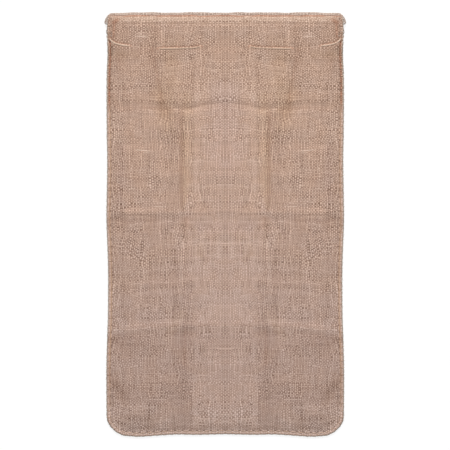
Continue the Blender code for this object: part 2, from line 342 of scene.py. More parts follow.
def seamOutline():
    # right half of the sewn edge, from the middle of the bottom round the corner and up to the mouth
    bottom = sack["bottom"]
    xs = np.arange(0.0, float(halfWidth(bottom, math.inf)), seam["step"])
    foot = np.column_stack([xs, bottom - bottomSag(xs, bottom) - creaseDrop(xs, bottom)])
    run = seam["cornerRun"]
    corner = np.linspace(0.0, 1.0, seam["cornerPoints"]) ** 2 * run
    ys = bottom + np.concatenate([corner, np.arange(run + seam["step"], seam["sideLength"], seam["step"])])
    ends = halfWidth(ys, math.inf)
    side = np.column_stack([ends, ys - bottomSag(ends, ys) - creaseDrop(ends, ys)])
    points = np.concatenate([foot, side])
    steps = np.linalg.norm(np.diff(points, axis=0), axis=1)
    points = points[np.concatenate([[True], steps > seam["closest"]])]
    steps = np.linalg.norm(np.diff(points, axis=0), axis=1)
    return points, np.concatenate([[0.0], np.cumsum(steps)])


outlinePoints, outlineLengths = seamOutline()
outlineTree = kdtree.KDTree(len(outlinePoints))
for index, point in enumerate(outlinePoints):
    outlineTree.insert((point[0], point[1], 0.0), index)
outlineTree.balance()


def seamPlace(x, y):
    # (along, inwards) of each point, in millimetres
    alongs, inwards = np.zeros(len(x)), np.full(len(x), 1000.0)
    for index in range(len(x)):
        _, nearest, distance = outlineTree.find((abs(x[index]), y[index], 0.0))
        alongs[index], inwards[index] = outlineLengths[nearest], distance
    return alongs, inwards


def outlineAt(length):
    # point on the right half of the outline and its direction
    here, ahead, behind = [
        np.array([np.interp(at, outlineLengths, outlinePoints[:, k]) for k in (0, 1)])
        for at in (length, length + 1.5, length - 1.5)
    ]
    return here, (ahead - behind) / np.linalg.norm(ahead - behind)


# panels

panelGrid = {
    "nearMouth": (22.0, 15),  # depth of the closer rows under the hem's fold, and their number
    "bendRows": 10,
    "hemRows": 7,
    "insets": (0.0, 0.8, 1.8, 3.0, 4.3, 5.6, 6.9, 8.3, 9.9, 11.6, 13.4, 15.4, 17.8, 20.6, 24.0),
    "innerColumns": 57,
    "fieldStep": 2.85,
    "cordRows": (291.0, 317.0, 1.3),  # from, to and step where the cord is
    "footSteps": (0.0, 0.3, 0.8, 1.6, 2.7, 4.0, 5.6, 7.3, 9.2, 11.2, 13.4, 15.8, 18.4, 21.0, 23.7),
}


def columnPlaces(side):
    # across one row from left to right, closest beside the seams; side is an array of half widths
    insets = np.array(panelGrid["insets"])
    inner = np.arange(1, panelGrid["innerColumns"]) / panelGrid["innerColumns"]
    right = np.concatenate([
        [0.0 * side], [t * (side - insets[-1]) for t in inner], [side - inset for inset in insets[::-1]]
    ])
    return np.concatenate([-right[:0:-1], right])


def rowPlaces(mouth):
    # (row, depth under the outer layer, distance along the cloth) for each row, from the bottom round the hem
    bend = sack["ply"] / 2
    centre = mouth - sack["cloth"] / 2 - bend
    foot = [sack["bottom"] + step for step in panelGrid["footSteps"]]
    depth, count = panelGrid["nearMouth"]
    top = centre - depth
    first, last, step = panelGrid["cordRows"]
    field = np.concatenate([
        np.linspace(foot[-1], first, int((first - foot[-1]) / panelGrid["fieldStep"]))[1:],
        np.arange(first + step, last, step),
        np.linspace(last, top, int((top - last) / panelGrid["fieldStep"]) + 1),
    ])
    near = np.linspace(top, centre, count)[1:]
    rows = [(y, 0.0, y) for y in [*foot, *field, *near]]
    for angle in np.linspace(0.0, math.pi, panelGrid["bendRows"])[1:]:
        rows.append((centre + bend * math.sin(angle), bend * (1 - math.cos(angle)), centre + bend * angle))
    for step in np.linspace(0.0, sack["hemDepth"] - sack["cloth"] - bend, panelGrid["hemRows"])[1:]:
        rows.append((centre - step, sack["ply"], centre + bend * math.pi + step))
    return np.array(rows)


def layPanel(name, mouth, height, turn, extra):
    rows = rowPlaces(mouth)
    y, depth, run = rows[:, 0], rows[:, 1], rows[:, 2]
    grid = columnPlaces(halfWidth(np.minimum(y, mouth - 0.001), mouth)).T
    rowY = np.repeat(y[:, None], grid.shape[1], axis=1)
    flat = rowY - bottomSag(grid, rowY) - creaseDrop(grid, rowY)
    flatLevel = np.minimum(flat, mouth - sack["cloth"])
    z = height(grid, flatLevel) + turn * depth[:, None]
    alongs, inwards = seamPlace(grid.ravel(), flat.ravel())
    x, yy, z, paint, brown, grey = extra(
        grid.ravel(), flat.ravel(), z.ravel(), alongs, inwards, np.repeat(depth, grid.shape[1])
    )

    deselectAll()
    nx, ny = grid.shape[1] - 1, grid.shape[0] - 1
    bpy.ops.mesh.primitive_grid_add(x_subdivisions=nx, y_subdivisions=ny, size=2.0)
    panel = bpy.context.active_object
    panel.name = panel.data.name = name
    mesh = panel.data
    start = np.zeros(len(mesh.vertices) * 3)
    mesh.vertices.foreach_get("co", start)
    start = start.reshape(-1, 3)
    column = np.rint((start[:, 0] + 1.0) / 2.0 * nx).astype(int)
    row = np.rint((start[:, 1] + 1.0) / 2.0 * ny).astype(int)
    pick = row * (nx + 1) + column
    placed = np.column_stack([x[pick], yy[pick], z[pick]]) * mm
    mesh.vertices.foreach_set("co", placed.ravel())

    corner = np.zeros(len(mesh.loops), int)
    mesh.loops.foreach_get("vertex_index", corner)
    while mesh.uv_layers:
        mesh.uv_layers.remove(mesh.uv_layers[0])
    runs = np.repeat(run[:, None], grid.shape[1], axis=1).ravel()
    fromHem = runs - (mouth - sack["hemDepth"])
    across = grid.ravel()
    drawn = runs - weftBow(across, runs)
    for layer, u, v in (("cloth", across, drawn), ("seam", alongs, inwards), ("hem", across, fromHem)):
        made = mesh.uv_layers.new(name=layer)
        made.data.foreach_set("uv", (np.column_stack([u[pick][corner], v[pick][corner]]) * mm).ravel())
    colours = mesh.color_attributes.new("paint", "FLOAT_COLOR", "POINT")
    colours.data.foreach_set("color", paint[pick].ravel())
    for layer, values in (("brown", brown), ("grey", grey)):
        mesh.attributes.new(layer, "FLOAT", "POINT").data.foreach_set("value", values[pick])
    mesh.update()

    thick = panel.modifiers.new("ply", "SOLIDIFY")
    thick.thickness = sack["cloth"] * mm
    thick.offset = 0.0
    thick.use_even_offset = False
    bpy.ops.object.modifier_apply(modifier="ply")
    mesh.shade_smooth()
    print(name, "laid:", len(mesh.polygons), "faces")
    return panel


# how far the weft is drawn out of line: low y, high y, soft y, reach from the middle, rise
weftBows = (
    (214.0, 322.0, 22.0, 70.0, 7.0), (120.0, 190.0, 20.0, 72.0, 3.0), (-350.0, -318.0, 20.0, 66.0, -5.0),
)


def weftBow(x, y):
    rise = 0.0
    for low, high, soft, reach, height in weftBows:
        rise = rise + height * window(y, low, high, soft) * (1.0 - np.clip(np.abs(x) / reach, 0.0, 1.0) ** 2)
    return rise


# fine folds and marks

def ripple(x, y, size, seed):  # soft noise from -1 to 1 with this size of swell
    places = zip(np.ravel(x) / size, np.ravel(y) / size)
    values = [noise.noise(Vector((a, b, seed))) for a, b in places]
    return np.array(values).reshape(np.shape(x))


frontLook = {
    "crests": (0.30, 0.35, 0.12, 0.0),  # sharper line on each fold across, from the bottom up
    "crestReach": 4.0,
    "unevenness": ((0.14, 16.0, 3.0), (0.10, 7.0, 5.0)),  # height, size, seed
    "grooveDepth": 0.9,
    "grooveShallow": 0.35,  # its depth below the top fold
    "grooveIn": 5.7,
    "grooveReach": 2.4,
    "grooveFrom": (190.0, 20.0),  # where it starts to deepen, and the run of that
    "grooveEnd": (314.0, 6.0),  # where its painted shadow ends near the mouth
    "rimPuff": 0.35,
    "rimIn": 2.8,
    "rimReach": 2.6,
    "cordTrough": 1.0,
    "cordTroughAt": 3.0,
    "cordTroughReach": 2.6,
    "cordShadeBrown": (0.32, 2.0),  # painted brown shade in the trough above the cord: strength and reach
    "cordSwell": 1.9,
    "cordSwellAt": -1.5,
    "cordSwellReach": (24.0, 3.2),  # below and above the cord
    "cordSwellFrom": (3.5, 5.0),  # distance in from the seam's edge where it starts, and the run of that
    "footEnds": (210.0, 40.0),  # distance along the seam where the bottom's tone ends, and the run of that
    "blotches": ((0.16, 8.5, 13.0), (0.12, 4.2, 19.0)),  # tone on the hem, size, seed
    "blotchFlat": 1.4,  # how much wider than tall
    "blotchSoft": 2.0,
    "paleHem": (11.8, 5.0),  # depth and softness
    "toneEnds": (188.0, 8.0),  # where mouthTone ends at the corners, and the run of that
    "meetingAt": 2.0,  # depth below the edge of the painted brown shadow line where the hems meet
    "meetingSway": 0.7,
    "meetingShadeBrown": (0.8, 0.4, 1.1),  # painted brown shadow where the hems meet: strength, lead and softness
}
backLook = {
    "unevenness": (0.08, 14.0, 11.0),
    "unevenFrom": (6.0, 10.0),  # distance in from the seam's edge where it starts, and the run of that
    "wave": (0.8, 40.0),  # stretch and shift of the mouth's wave against the front's
    "hemSoft": 1.6,
    # the painted fold shading, shifted and weaker, on the back panel
    "toneShift": 4.0,
    "toneStrength": 0.6,
    "hemDarker": 0.05,
    "topLine": (354.1, 1.6, 0.09),  # pale line on the hem: y, reach, strength
    "lineY": 351.6,  # where the front hem's edge lies on it
    "lineSway": 0.8,
    "lineReach": 1.7,
    # painted brown shadow under the front hem's edge
    "lineShadeBrown": 0.6,
    "greyFrom": (346.0, 4.0),
}
# unevenness of the mouth's edge, and its drop towards the corners
mouthLook = {
    "wave": (0.6, 9.2, 1.0, 31.0, 0.4),
    "ripple": (0.25, 4.1),
    "waveFrom": (9.0, 8.0),  # how far below the edge it starts, and its run
    "drop": (1.1, 150.0, 38.0),  # how much, from where and over what run
    "hemEnds": (195.0, 6.0),
    "meeting": (1.3, 11.0),  # stretch and shift of the wave of the line where the two hems meet
    "turnedIn": 0.1,  # cloth deeper than this under the outer layer is the hem's inner side
}

# painted light and shade of the folds, in steps of 1/160 of the cloth's own tone, the same on both halves
foldShadingMarks = {
    # painted shade and light on the fields between the folds: low y, high y, inner x, outer x, soft y, soft
    # x, tone
    "panes": (
        (205, 240, 0, 52, 12, 12, 7), (205, 345, 168, 202, 10, 12, -4), (28, 196, 0, 66, 5, 8, 6),
        (28, 196, 66, 205, 5, 8, 1), (-95, 18, 0, 66, 5, 8, 5), (-165, -95, 0, 48, 5, 12, 5),
        (-318, -176, 58, 84, 10, 10, -9), (-352, -318, 58, 84, 10, 10, -3),
        (-305, -196, 84, 205, 8, 10, -4), (-342, -308, 0, 56, 8, 8, 7), (-296, -262, 60, 200, 14, 14, -4),
    ),
    # painted shade and highlights along the folds and in their corners: from x, y, to x, y, reach, tone
    "strokes": (
        (114, 340, 122, 296, 10, -6), (122, 296, 120, 272, 15, -11), (120, 272, 103, 202, 13, -8),
        (108, 202, 97, 190, 15, -12), (60, 195.5, 200, 195.5, 5, -8), (74, 186, 73, 28, 9, -10),
        (0, 128, 60, 130, 12, -4), (66, 12, 68, 2, 11, -11), (65, 0, 64, -160, 7, -5),
        (83, -60, 85, -150, 8, -6), (84, 0, 80, -30, 9, 5), (64, -160, 70, -182, 10, -8),
        (70, -184, 69, -235, 9, -8), (67.5, -235, 67.5, -350, 5, -6), (165, 24, 200, 2, 10, -6),
        (170, 4, 205, 4, 14, -9), (176, 128, 180, 40, 13, -6), (128, 176, 128, 140, 26, 6),
        (185, 160, 190, 140, 12, 6), (80, -175, 185, -180, 5, 6), (0, -174, 62, -173.5, 5, 6),
        (150, -192, 204, -192, 15, -12), (184, -194, 198, -194, 11, -8), (110, -205, 180, -205, 11, -6),
        (196, -256, 168, -292, 15, -11), (100, -306, 130, -300, 10, -4), (148, -322, 166, -322, 6, -4),
        (150, -328, 128, -338, 13, -6), (150, 283, 200, 276, 22, -6), (184, 336, 190, 316, 10, -8),
        (183, 345, 188, 340, 7, -5), (188, 350, 199, 347, 5, 9), (40, 295, 52, 303, 9, -6),
        (46, 297, 56, 296, 6, -5), (136, 319, 152, 317, 7, 7), (186, 296, 186, 215, 5, 6),
        (0, 19.5, 88, 19, 4.5, 8), (0, 35, 50, 35, 4, -4), (0, 204.4, 30, 203.0, 2.6, -7),
        (30, 203.0, 64, 196.2, 2.6, -9), (0, 200.0, 30, 198.6, 3.0, 5), (30, 198.6, 60, 192.0, 3.4, 6),
        (66, 200, 84, 206, 8, -6), (74, -18, 74, -142, 3.5, 6), (85, -184, 112, -190, 7, -6),
        (0, -160, 26, -160, 9, -4), (170, -105, 170, -150, 16, -4), (140, -152, 134, -160, 20, 4),
        (85, -330, 110, -334, 14, 4), (191, -318, 184.5, -337, 5.5, 8), (184.5, -337, 168, -346, 5.5, 8),
        (168, -346, 135, -347.5, 5.0, 7), (88, 18, 88, -55, 4.5, 5), (70, -40, 71, -90, 4.5, 5),
        (8, 92, 9, 72, 8, -6), (0, -168.5, 150, -170, 4, -5), (187, -181, 189, -184, 4.5, 9),
        (0, -320, 52, -319, 4.5, 5), (18, 262, 28, 250, 9, 5), (22, 324, 26, 310, 8, 4),
        (0, 296, 18, 292, 9, -3), (32, 322, 38, 304, 11, 8), (0, 284, 12, 276, 12, -4),
        (84, 240, 90, 205, 11, 7), (52, 250, 60, 228, 12, -5), (120, 194, 96, 182, 8, -5),
        (150, 202, 182, 202.5, 4, -5), (34, 178, 38, 146, 12, 6), (178, 150, 174, 138, 9, 7),
        (150, 240, 152, 228, 12, 5), (112, 21, 186, 20.5, 4, 7), (112, 6, 160, 5, 5, -5),
        (92, 18, 97, -3, 6, 6), (128, -36, 130, -64, 9, 7), (42, -112, 43, -122, 8, -9),
        (179, -120, 186, -124, 9, -8), (124, -149, 136, -150, 9, 8), (0, -177, 0, -184, 6, 5),
        (80, -184, 98, -182, 6, -5), (164, -240, 167, -248, 9, -6), (112, -262, 118, -276, 7, -5),
        (8, -250, 16, -272, 12, -4), (190, -322, 194, -336, 7, -6), (118, -346, 138, -346, 5, 5),
        (90, -320, 92, -330, 10, 4), (126, 74, 128, 52, 9, 5), (98, 328, 96, 320, 9, -5),
        (73, -8, 73, -26, 5, 6), (70, -40, 71, -70, 6, 5), (140, -30, 141, -40, 9, 5),
        (90, 18, 94, 17, 5, 5), (150, 200, 172, 199, 5, -5), (165, -200, 176, -204, 7, -5),
        (96, 172, 93, 164, 7, -5), (120, 208, 132, 206, 6, 6), (132, 234, 126, 230, 8, 4),
        (130, -152, 126, -155, 7, 4), (70, -188, 69, -198, 6, -5), (56, 307, 58, 302, 7, 6),
        (80, 296, 84, 292, 7, 4), (20, -246, 18, -254, 9, -4), (126, -346, 136, -346, 5, 5),
        (192, 325, 194, 318, 5, 7), (24, -150, 24, -156, 8, -4), (110, 9, 166, 5, 6, -4),
    ),
    # yellower and pinker places: from x, y, to x, y, reach, from -1 for pink to 1 for tan
    "tan": (
        (64, 215, 67, 60, 16, 1.0), (92, 296, 92, 208, 30, 0.7), (110, 225, 96, 165, 24, 0.9),
        (66, 48, 72, 28, 7, 0.8), (150, 286, 192, 288, 14, 0.6), (0, 215, 0, 110, 52, -0.8),
        (172, 130, 176, 40, 12, -0.5), (0, -5, 40, -5, 14, -0.6), (110, -60, 185, -100, 40, 0.3),
        (40, -36, 42, -48, 12, 0.6), (70, -150, 100, -190, 14, 0.6),
    ),
    # painted brown shade where the cloth is pulled in deepest, at the cord's holes, under the hem's corners
    # and along folds: from x, y, to x, y, reach, strength
    "brown": (
        (181.5, 345, 187.5, 340.0, 6.5, 0.60), (187, 336, 188, 315, 2.6, 0.55),
        (40.0, 299.4, 41.8, 299.0, 2.6, 0.75), (111.2, 296.0, 112.6, 296.2, 2.6, 0.75),
        (160.0, 300.4, 161.4, 300.6, 2.6, 0.6), (123.0, 298.0, 106.0, 204.0, 2.8, 0.16),
        (74.5, 190.0, 72.5, 22.0, 2.6, 0.14), (66.0, 12.0, 65.0, -6.0, 2.8, 0.18),
        (66.0, -166.0, 70.0, -240.0, 2.6, 0.14),
    ),
}

# the sewn bottom: distance in from the edge, tone; painted shade along the outer edge, then a lighter band on
# the strip inside it
footTone = (
    (0.0, -22), (1.7, -20), (2.5, -14), (3.4, -9), (4.2, 3), (5.1, 26), (5.9, 45), (6.7, 38), (7.6, 18),
    (8.4, 8), (9.3, 8), (10.1, 6), (11.0, 1), (12.6, 1), (14.3, -4), (16.0, 1), (17.7, 9), (19.4, 6),
    (21.0, 5), (24.0, 3), (28.0, 0),
)
# the sewn sides below the top fold: distance in from the edge, tone; a little painted shade at the edge,
# lighter further in
sideTone = ((0.8, 0), (1.7, -4), (2.5, -1), (3.4, 3), (4.2, 5), (8.4, 5), (9.3, 1), (10.5, 0))
# the front hem: y, tone; a painted highlight along the top of its fold, painted shade at its very edge
mouthTone = (
    (330.0, 0), (336.0, 2), (341.0, 3), (344.0, 3), (345.5, 0), (346.8, 3), (348.2, 10), (349.1, 12),
    (350.2, 4), (351.5, -5),
)


def stroke(x, y, row):
    # 1 on the line between two points, softly down to 0 at the reach
    fromX, fromY, toX, toY, reach = row
    runX, runY = toX - fromX, toY - fromY
    part = np.clip(((x - fromX) * runX + (y - fromY) * runY) / (runX**2 + runY**2), 0.0, 1.0)
    return bell(np.hypot(x - fromX - part * runX, y - fromY - part * runY), reach)


def stepped(tone):  # steps of tone as a factor on the cloth's own
    return (1.0 + tone / 160.0) ** 2.2


def foldShadingAt(x, y, strength=1.0):
    # the paint value of the painted fold shading, 0.5 where the cloth keeps its own tone
    out, tone = np.abs(x), np.zeros(len(x))
    for low, high, inner, outer, softY, softX, change in foldShadingMarks["panes"]:
        part = window(y, low, high, softY) * smooth((outer - out) / softX + 0.5)
        if inner > 0:
            part = part * smooth((out - inner) / softX + 0.5)
        tone = tone + change * part
    for *row, change in foldShadingMarks["strokes"]:
        tone = tone + change * stroke(out, y, row)
    return 0.5 * stepped(strength * tone)


# painted brown shade of the deepest places, from 0 to 1
def shadeBrownAt(x, y):
    return np.maximum.reduce([strength * stroke(np.abs(x), y, row) for *row, strength in foldShadingMarks["brown"]])


def tanAt(x, y):
    # 0.5 where the cloth keeps its own hue
    tan = sum(strength * stroke(np.abs(x), y, row) for *row, strength in foldShadingMarks["tan"])
    return 0.5 + 0.5 * np.clip(tan, -1.0, 1.0)


def pullEdges(x, y, alongs, inwards):
    # the twine draws the edge in at each stitch
    pitch = sack["stitchPitch"]
    pull = seam["scallop"] * (0.5 + 0.5 * np.cos(2 * math.pi * alongs / pitch))
    pull = pull * fold(inwards, seam["scallopReach"])
    toMiddle = np.where(inwards < seam["width"], pull, 0.0)
    near = [outlineTree.find((abs(a), b, 0.0))[1] for a, b in zip(x, y)]
    near = np.clip(np.array(near), 1, len(outlinePoints) - 2)
    heading = outlinePoints[near + 1] - outlinePoints[near - 1]
    heading /= np.linalg.norm(heading, axis=1)[:, None]
    inward = np.column_stack([-heading[:, 1], heading[:, 0]])
    return x + np.sign(x) * inward[:, 0] * toMiddle, y + inward[:, 1] * toMiddle


def mouthWave(x):
    out = np.abs(x)
    height, short, shortShift, long, longShift = mouthLook["wave"]
    fine, fineSize = mouthLook["ripple"]
    wave = height * np.sin(out / short + shortShift) * np.sin(out / long + longShift)
    return wave + fine * np.sin(out / fineSize)


def meetingWave(x):  # unevenness of the line where the two hems meet
    stretch, shift = mouthLook["meeting"]
    return mouthWave(x * stretch + shift)


def turnedIn(depth):  # 1 on the cloth inside the hem's fold
    return (depth > mouthLook["turnedIn"]) * 1.0


def waveMouth(x, y, mouth, waveAt):
    drop, dropFrom, dropRun = mouthLook["drop"]
    wave = mouthWave(waveAt) - drop * smooth((np.abs(x) - dropFrom) / dropRun)
    start, run = mouthLook["waveFrom"]
    return y + wave * smooth((y - mouth + start) / run)


def awayFromEnds(x, end, run):
    return smooth((end - np.abs(x)) / run)


def frontExtra(x, y, z, alongs, inwards, depth):
    look = frontLook
    rise = seamRise(x, y)
    fine = sum(height * ripple(x, y, size, seed) for height, size, seed in look["unevenness"])
    for crease, crest in zip(sack["creases"], look["crests"]):
        fine = fine + np.sign(crease[1]) * crest * fold(awayFrom(crease, x, y), look["crestReach"])
    shown = (1.0 + threaded(x)) / 2.0
    away = y - frontCordY(x)
    trough = bell(away - look["cordTroughAt"], look["cordTroughReach"])
    (below, above), at = look["cordSwellReach"], look["cordSwellAt"]
    swell = np.where(away < at, bell(away - at, below), bell(away - at, above))
    byCord = shown * (look["cordSwell"] * swell - look["cordTrough"] * trough)
    start, run = look["cordSwellFrom"]
    z = z + rise * fine + np.maximum(rise, smooth((inwards - start) / run)) * byCord
    start, run = look["grooveFrom"]
    lower = smooth((y - start) / run)
    grooveDepth = look["grooveShallow"] + (look["grooveDepth"] - look["grooveShallow"]) * lower
    z = z - grooveDepth * bell(inwards - look["grooveIn"], look["grooveReach"])
    z = z + look["rimPuff"] * bell(inwards - look["rimIn"], look["rimReach"])

    start, run = look["footEnds"]
    nearFoot = 1.0 - smooth((alongs - start) / run)
    hemBand = smooth((y - sack["frontMouth"] + sack["hemDepth"]) / look["blotchSoft"])
    flat = look["blotchFlat"]
    blotch = sum(tone * ripple(np.abs(x), flat * y, size, seed) for tone, size, seed in look["blotches"])
    tan = tanAt(x, y)
    sideShare = (1.0 - nearFoot) * (1.0 - lower)
    # painted shade and light along the sewn edges and along the hem's fold
    edgeShading = nearFoot * along(footTone, inwards) + sideShare * along(sideTone, inwards)
    edgeShading = edgeShading + along(mouthTone, y) * awayFromEnds(x, *look["toneEnds"])
    tone = foldShadingAt(x, y) * (1.0 + hemBand * blotch) * stepped(edgeShading)
    # painted brown shade in the trough above the cord
    strength, reach = look["cordShadeBrown"]
    brown = np.maximum(shadeBrownAt(x, y), strength * shown * bell(away - look["cordTroughAt"], reach))

    x, y = pullEdges(x, y, alongs, inwards)
    y = waveMouth(x, y, sack["frontMouth"], x)
    fromMouth = sack["frontMouth"] - y
    deep, soft = look["paleHem"]
    hem = smooth((deep - fromMouth) / soft) * awayFromEnds(x, *mouthLook["hemEnds"])
    hem = np.maximum(hem, turnedIn(depth))
    end, run = look["grooveEnd"]
    # paint: painted shading, hem, where the groove's painted shadow lies, and hue
    paint = np.column_stack([tone, hem, lower * smooth((end - y) / run), tan])
    # painted brown shadow along the line where the two hems meet
    meeting = y - sack["frontMouth"] + look["meetingAt"] - look["meetingSway"] * meetingWave(x)
    strength, lead, soft = look["meetingShadeBrown"]
    brown = np.maximum(brown, strength * smooth((meeting + lead) / soft))
    return x, y, z, paint, brown, np.zeros(len(x))


def backExtra(x, y, z, alongs, inwards, depth):
    look = backLook
    height, size, seed = look["unevenness"]
    start, run = look["unevenFrom"]
    z = z + smooth((inwards - start) / run) * height * ripple(x, y, size, seed)
    tone, tan = foldShadingAt(x, y + look["toneShift"], look["toneStrength"]), tanAt(x, y)
    x, y = pullEdges(x, y, alongs, inwards)
    stretch, shift = look["wave"]
    y = waveMouth(x, y, sack["backMouth"], x * stretch + shift)
    fromMouth = sack["backMouth"] - y
    hem = smooth((sack["hemDepth"] - fromMouth) / look["hemSoft"]) * awayFromEnds(x, *mouthLook["hemEnds"])
    hem = np.maximum(hem, turnedIn(depth))
    # painted shadow line under the front hem's edge
    line = bell(y - look["lineY"] - look["lineSway"] * meetingWave(x), look["lineReach"]) * turnedIn(depth)
    topY, topReach, topTone = look["topLine"]
    tone = tone * (1.0 - look["hemDarker"] * hem) * (1.0 + topTone * bell(y - topY, topReach))
    start, run = look["greyFrom"]
    paint = np.column_stack([tone, hem, np.zeros(len(x)), tan])
    return x, y, z, paint, look["lineShadeBrown"] * line, hem * smooth((y - start) / run)


# yarns: tubes along paths

def resample(path, step, closed=False):
    points = np.array(path, float)
    if closed:
        points = np.vstack([points, points[:1]])
    lengths = np.concatenate([[0.0], np.cumsum(np.linalg.norm(np.diff(points, axis=0), axis=1))])
    count = max(2, int(round(lengths[-1] / step)))
    at = np.linspace(0.0, lengths[-1], count + 1)
    made = np.column_stack([np.interp(at, lengths, points[:, k]) for k in range(3)])
    return made[:-1] if closed else made


def soften(points, rounds, closed):
    for _ in range(rounds):
        if closed:
            points = (np.roll(points, 1, axis=0) + 2 * points + np.roll(points, -1, axis=0)) / 4
        else:
            points[1:-1] = (points[:-2] + 2 * points[1:-1] + points[2:]) / 4
    return points


def frames(points, closed, across):
    # two directions square to the path at each point; across is a direction that the path never takes
    if closed:
        heading = np.roll(points, -1, axis=0) - np.roll(points, 1, axis=0)
    else:
        heading = np.gradient(points, axis=0)
    heading /= np.linalg.norm(heading, axis=1)[:, None] + 1e-12
    first = across - (heading @ across)[:, None] * heading
    first /= np.linalg.norm(first, axis=1)[:, None] + 1e-12
    return first, np.cross(heading, first)


class Spool:
    # gathers tubes, then makes them one mesh
    def __init__(self):
        self.points, self.faces, self.uvs, self.count = [], [], [], 0

    def tube(self, path, radius, sides, closed=False, across=(0.0, 0.0, 1.0), taper=0.0, offset=0.0):
        first, second = frames(path, closed, np.array(across, float))
        count = len(path)
        angle = 2 * math.pi * np.arange(sides) / sides
        radii = np.full(count, radius) if np.isscalar(radius) else np.asarray(radius, float)
        if taper:
            t = np.linspace(0.0, 1.0, count)
            radii = radii * np.clip(np.minimum(t, 1.0 - t) / taper, 0.12, 1.0)
        circle = np.cos(angle)[None, :, None] * first[:, None, :]
        circle = circle + np.sin(angle)[None, :, None] * second[:, None, :]
        points = path[:, None, :] + radii[:, None, None] * circle
        self.points.append(points.reshape(-1, 3))
        steps = np.linalg.norm(np.diff(path, axis=0), axis=1)
        lengths = np.concatenate([[0.0], np.cumsum(steps)]) + offset
        rings = np.arange(count if closed else count - 1)
        ringAt, sideAt = np.meshgrid(rings, np.arange(sides), indexing="ij")
        nextRing, nextSide = (ringAt + 1) % count, (sideAt + 1) % sides
        corners = ((ringAt, sideAt), (ringAt, nextSide), (nextRing, nextSide), (nextRing, sideAt))
        quads = np.stack([ring * sides + side for ring, side in corners], axis=-1)
        self.faces.extend((quads.reshape(-1, 4) + self.count).tolist())
        last = lengths[-1] + (np.linalg.norm(path[0] - path[-1]) if closed else 0.0)
        low = lengths[ringAt]
        high = np.where(nextRing == 0, last, lengths[nextRing]) if closed else lengths[nextRing]
        left, right = sideAt / sides, (sideAt + 1) / sides
        pairs = ((left, low), (right, low), (right, high), (left, high))
        uv = np.stack([np.stack(pair, -1) for pair in pairs], axis=-2)
        self.uvs.append(uv.reshape(-1, 2))
        if not closed:
            base = self.count
            self.faces.append([base + side for side in range(sides)][::-1])
            self.faces.append([base + (count - 1) * sides + side for side in range(sides)])
            self.uvs.append(np.zeros((2 * sides, 2)))
        self.count += count * sides

    def twist(self, path, radius, plies, lay, sides, closed=False, across=(0.0, 0.0, 1.0), taper=0.0):
        # plies wound round each other along the path
        first, second = frames(path, closed, np.array(across, float))
        lengths = np.concatenate([[0.0], np.cumsum(np.linalg.norm(np.diff(path, axis=0), axis=1))])
        total = lengths[-1] + (np.linalg.norm(path[0] - path[-1]) if closed else 0.0)
        turns = total / lay
        if closed:
            turns = round(turns)
        plyRadius = radius / (1.0 + 1.0 / math.sin(math.pi / plies))
        reach = radius - plyRadius
        for ply in range(plies):
            angle = 2 * math.pi * (turns * lengths / total + ply / plies)
            strand = path + reach * (np.cos(angle)[:, None] * first + np.sin(angle)[:, None] * second)
            self.tube(strand, plyRadius * 1.12, sides, closed, across, taper, offset=37.0 * ply)

    def wind(self, name, finish):
        mesh = bpy.data.meshes.new(name)
        mesh.from_pydata((np.concatenate(self.points) * mm).tolist(), [], self.faces)
        layer = mesh.uv_layers.new(name="yarn")
        uv = np.concatenate(self.uvs)
        uv[:, 1] *= mm
        layer.data.foreach_set("uv", uv.ravel())
        mesh.shade_smooth()
        mesh.materials.append(finish)
        made = bpy.data.objects.new(name, mesh)
        bpy.context.scene.collection.objects.link(made)
        print(name, "wound:", len(mesh.polygons), "faces")
        return made


# drawstring

drawstringLook = {"lay": 9.0, "sides": 6, "step": 0.9}


def backCordY(x):
    straight = cordRoute["backStraight"]
    turning = smooth((np.abs(x) - straight) / (cordRoute["turnX"] - straight))
    return cordRoute["backY"] + (frontCordY(cordRoute["turnX"]) - cordRoute["backY"]) * turning


def frontCordZ(x):
    return frontHeight(x, frontCordY(x)) + threaded(x) * cordStep


def backCordZ(x):
    inside, under = sack["backLevel"] + cordStep, cordRoute["floorGap"] + cordRoute["radius"]
    return under + (inside - under) * (1.0 + threaded(x)) / 2.0


def drawstringPath():
    turnX = cordRoute["turnX"]
    xs = np.arange(-turnX, turnX + 0.01, 1.0)
    front = np.column_stack([xs, frontCordY(xs), frontCordZ(xs)])
    back = np.column_stack([xs[::-1], backCordY(xs[::-1]), backCordZ(xs[::-1])])
    edge = np.array([turnX])
    top, low = float(frontCordZ(edge)[0]), float(backCordZ(edge)[0])
    radius, middle = (top - low) / 2, (top + low) / 2
    angles = np.radians([20, 40, 60, 80, 100, 120, 140, 160])
    reach = turnX + radius * np.sin(angles)
    turn = np.column_stack([reach, frontCordY(reach), middle + radius * np.cos(angles)])
    left = turn[::-1] * np.array([-1.0, 1.0, 1.0])
    loop = np.concatenate([front, turn, back, left])
    return soften(resample(loop, drawstringLook["step"], closed=True), 3, True)


def makeDrawstring(finish):
    spool = Spool()
    spool.twist(
        drawstringPath(), cordRoute["radius"], 3, drawstringLook["lay"], drawstringLook["sides"],
        closed=True, across=(0.0, 1.0, 0.0),
    )
    cord = spool.wind("drawstringCord", finish)
    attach(cord, "root")
    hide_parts("drawstring")
    return cord


# where the dressed panels are: the first surface met from above or from below

def surfaceOf(piece):
    faces = [tuple(face.vertices) for face in piece.data.polygons]
    return BVHTree.FromPolygons([vertex.co for vertex in piece.data.vertices], faces)


def levelAt(surface, x, y, side, otherwise):
    # height in millimetres of the surface at a point, from above (side 1) or below (side -1)
    hit = surface.ray_cast(Vector((x * mm, y * mm, side * 0.1)), Vector((0.0, 0.0, -side)))[0]
    return hit.z / mm if hit else otherwise


# twine of the side and bottom seams: one stitch lies along the seam, the next wrap goes over the edge

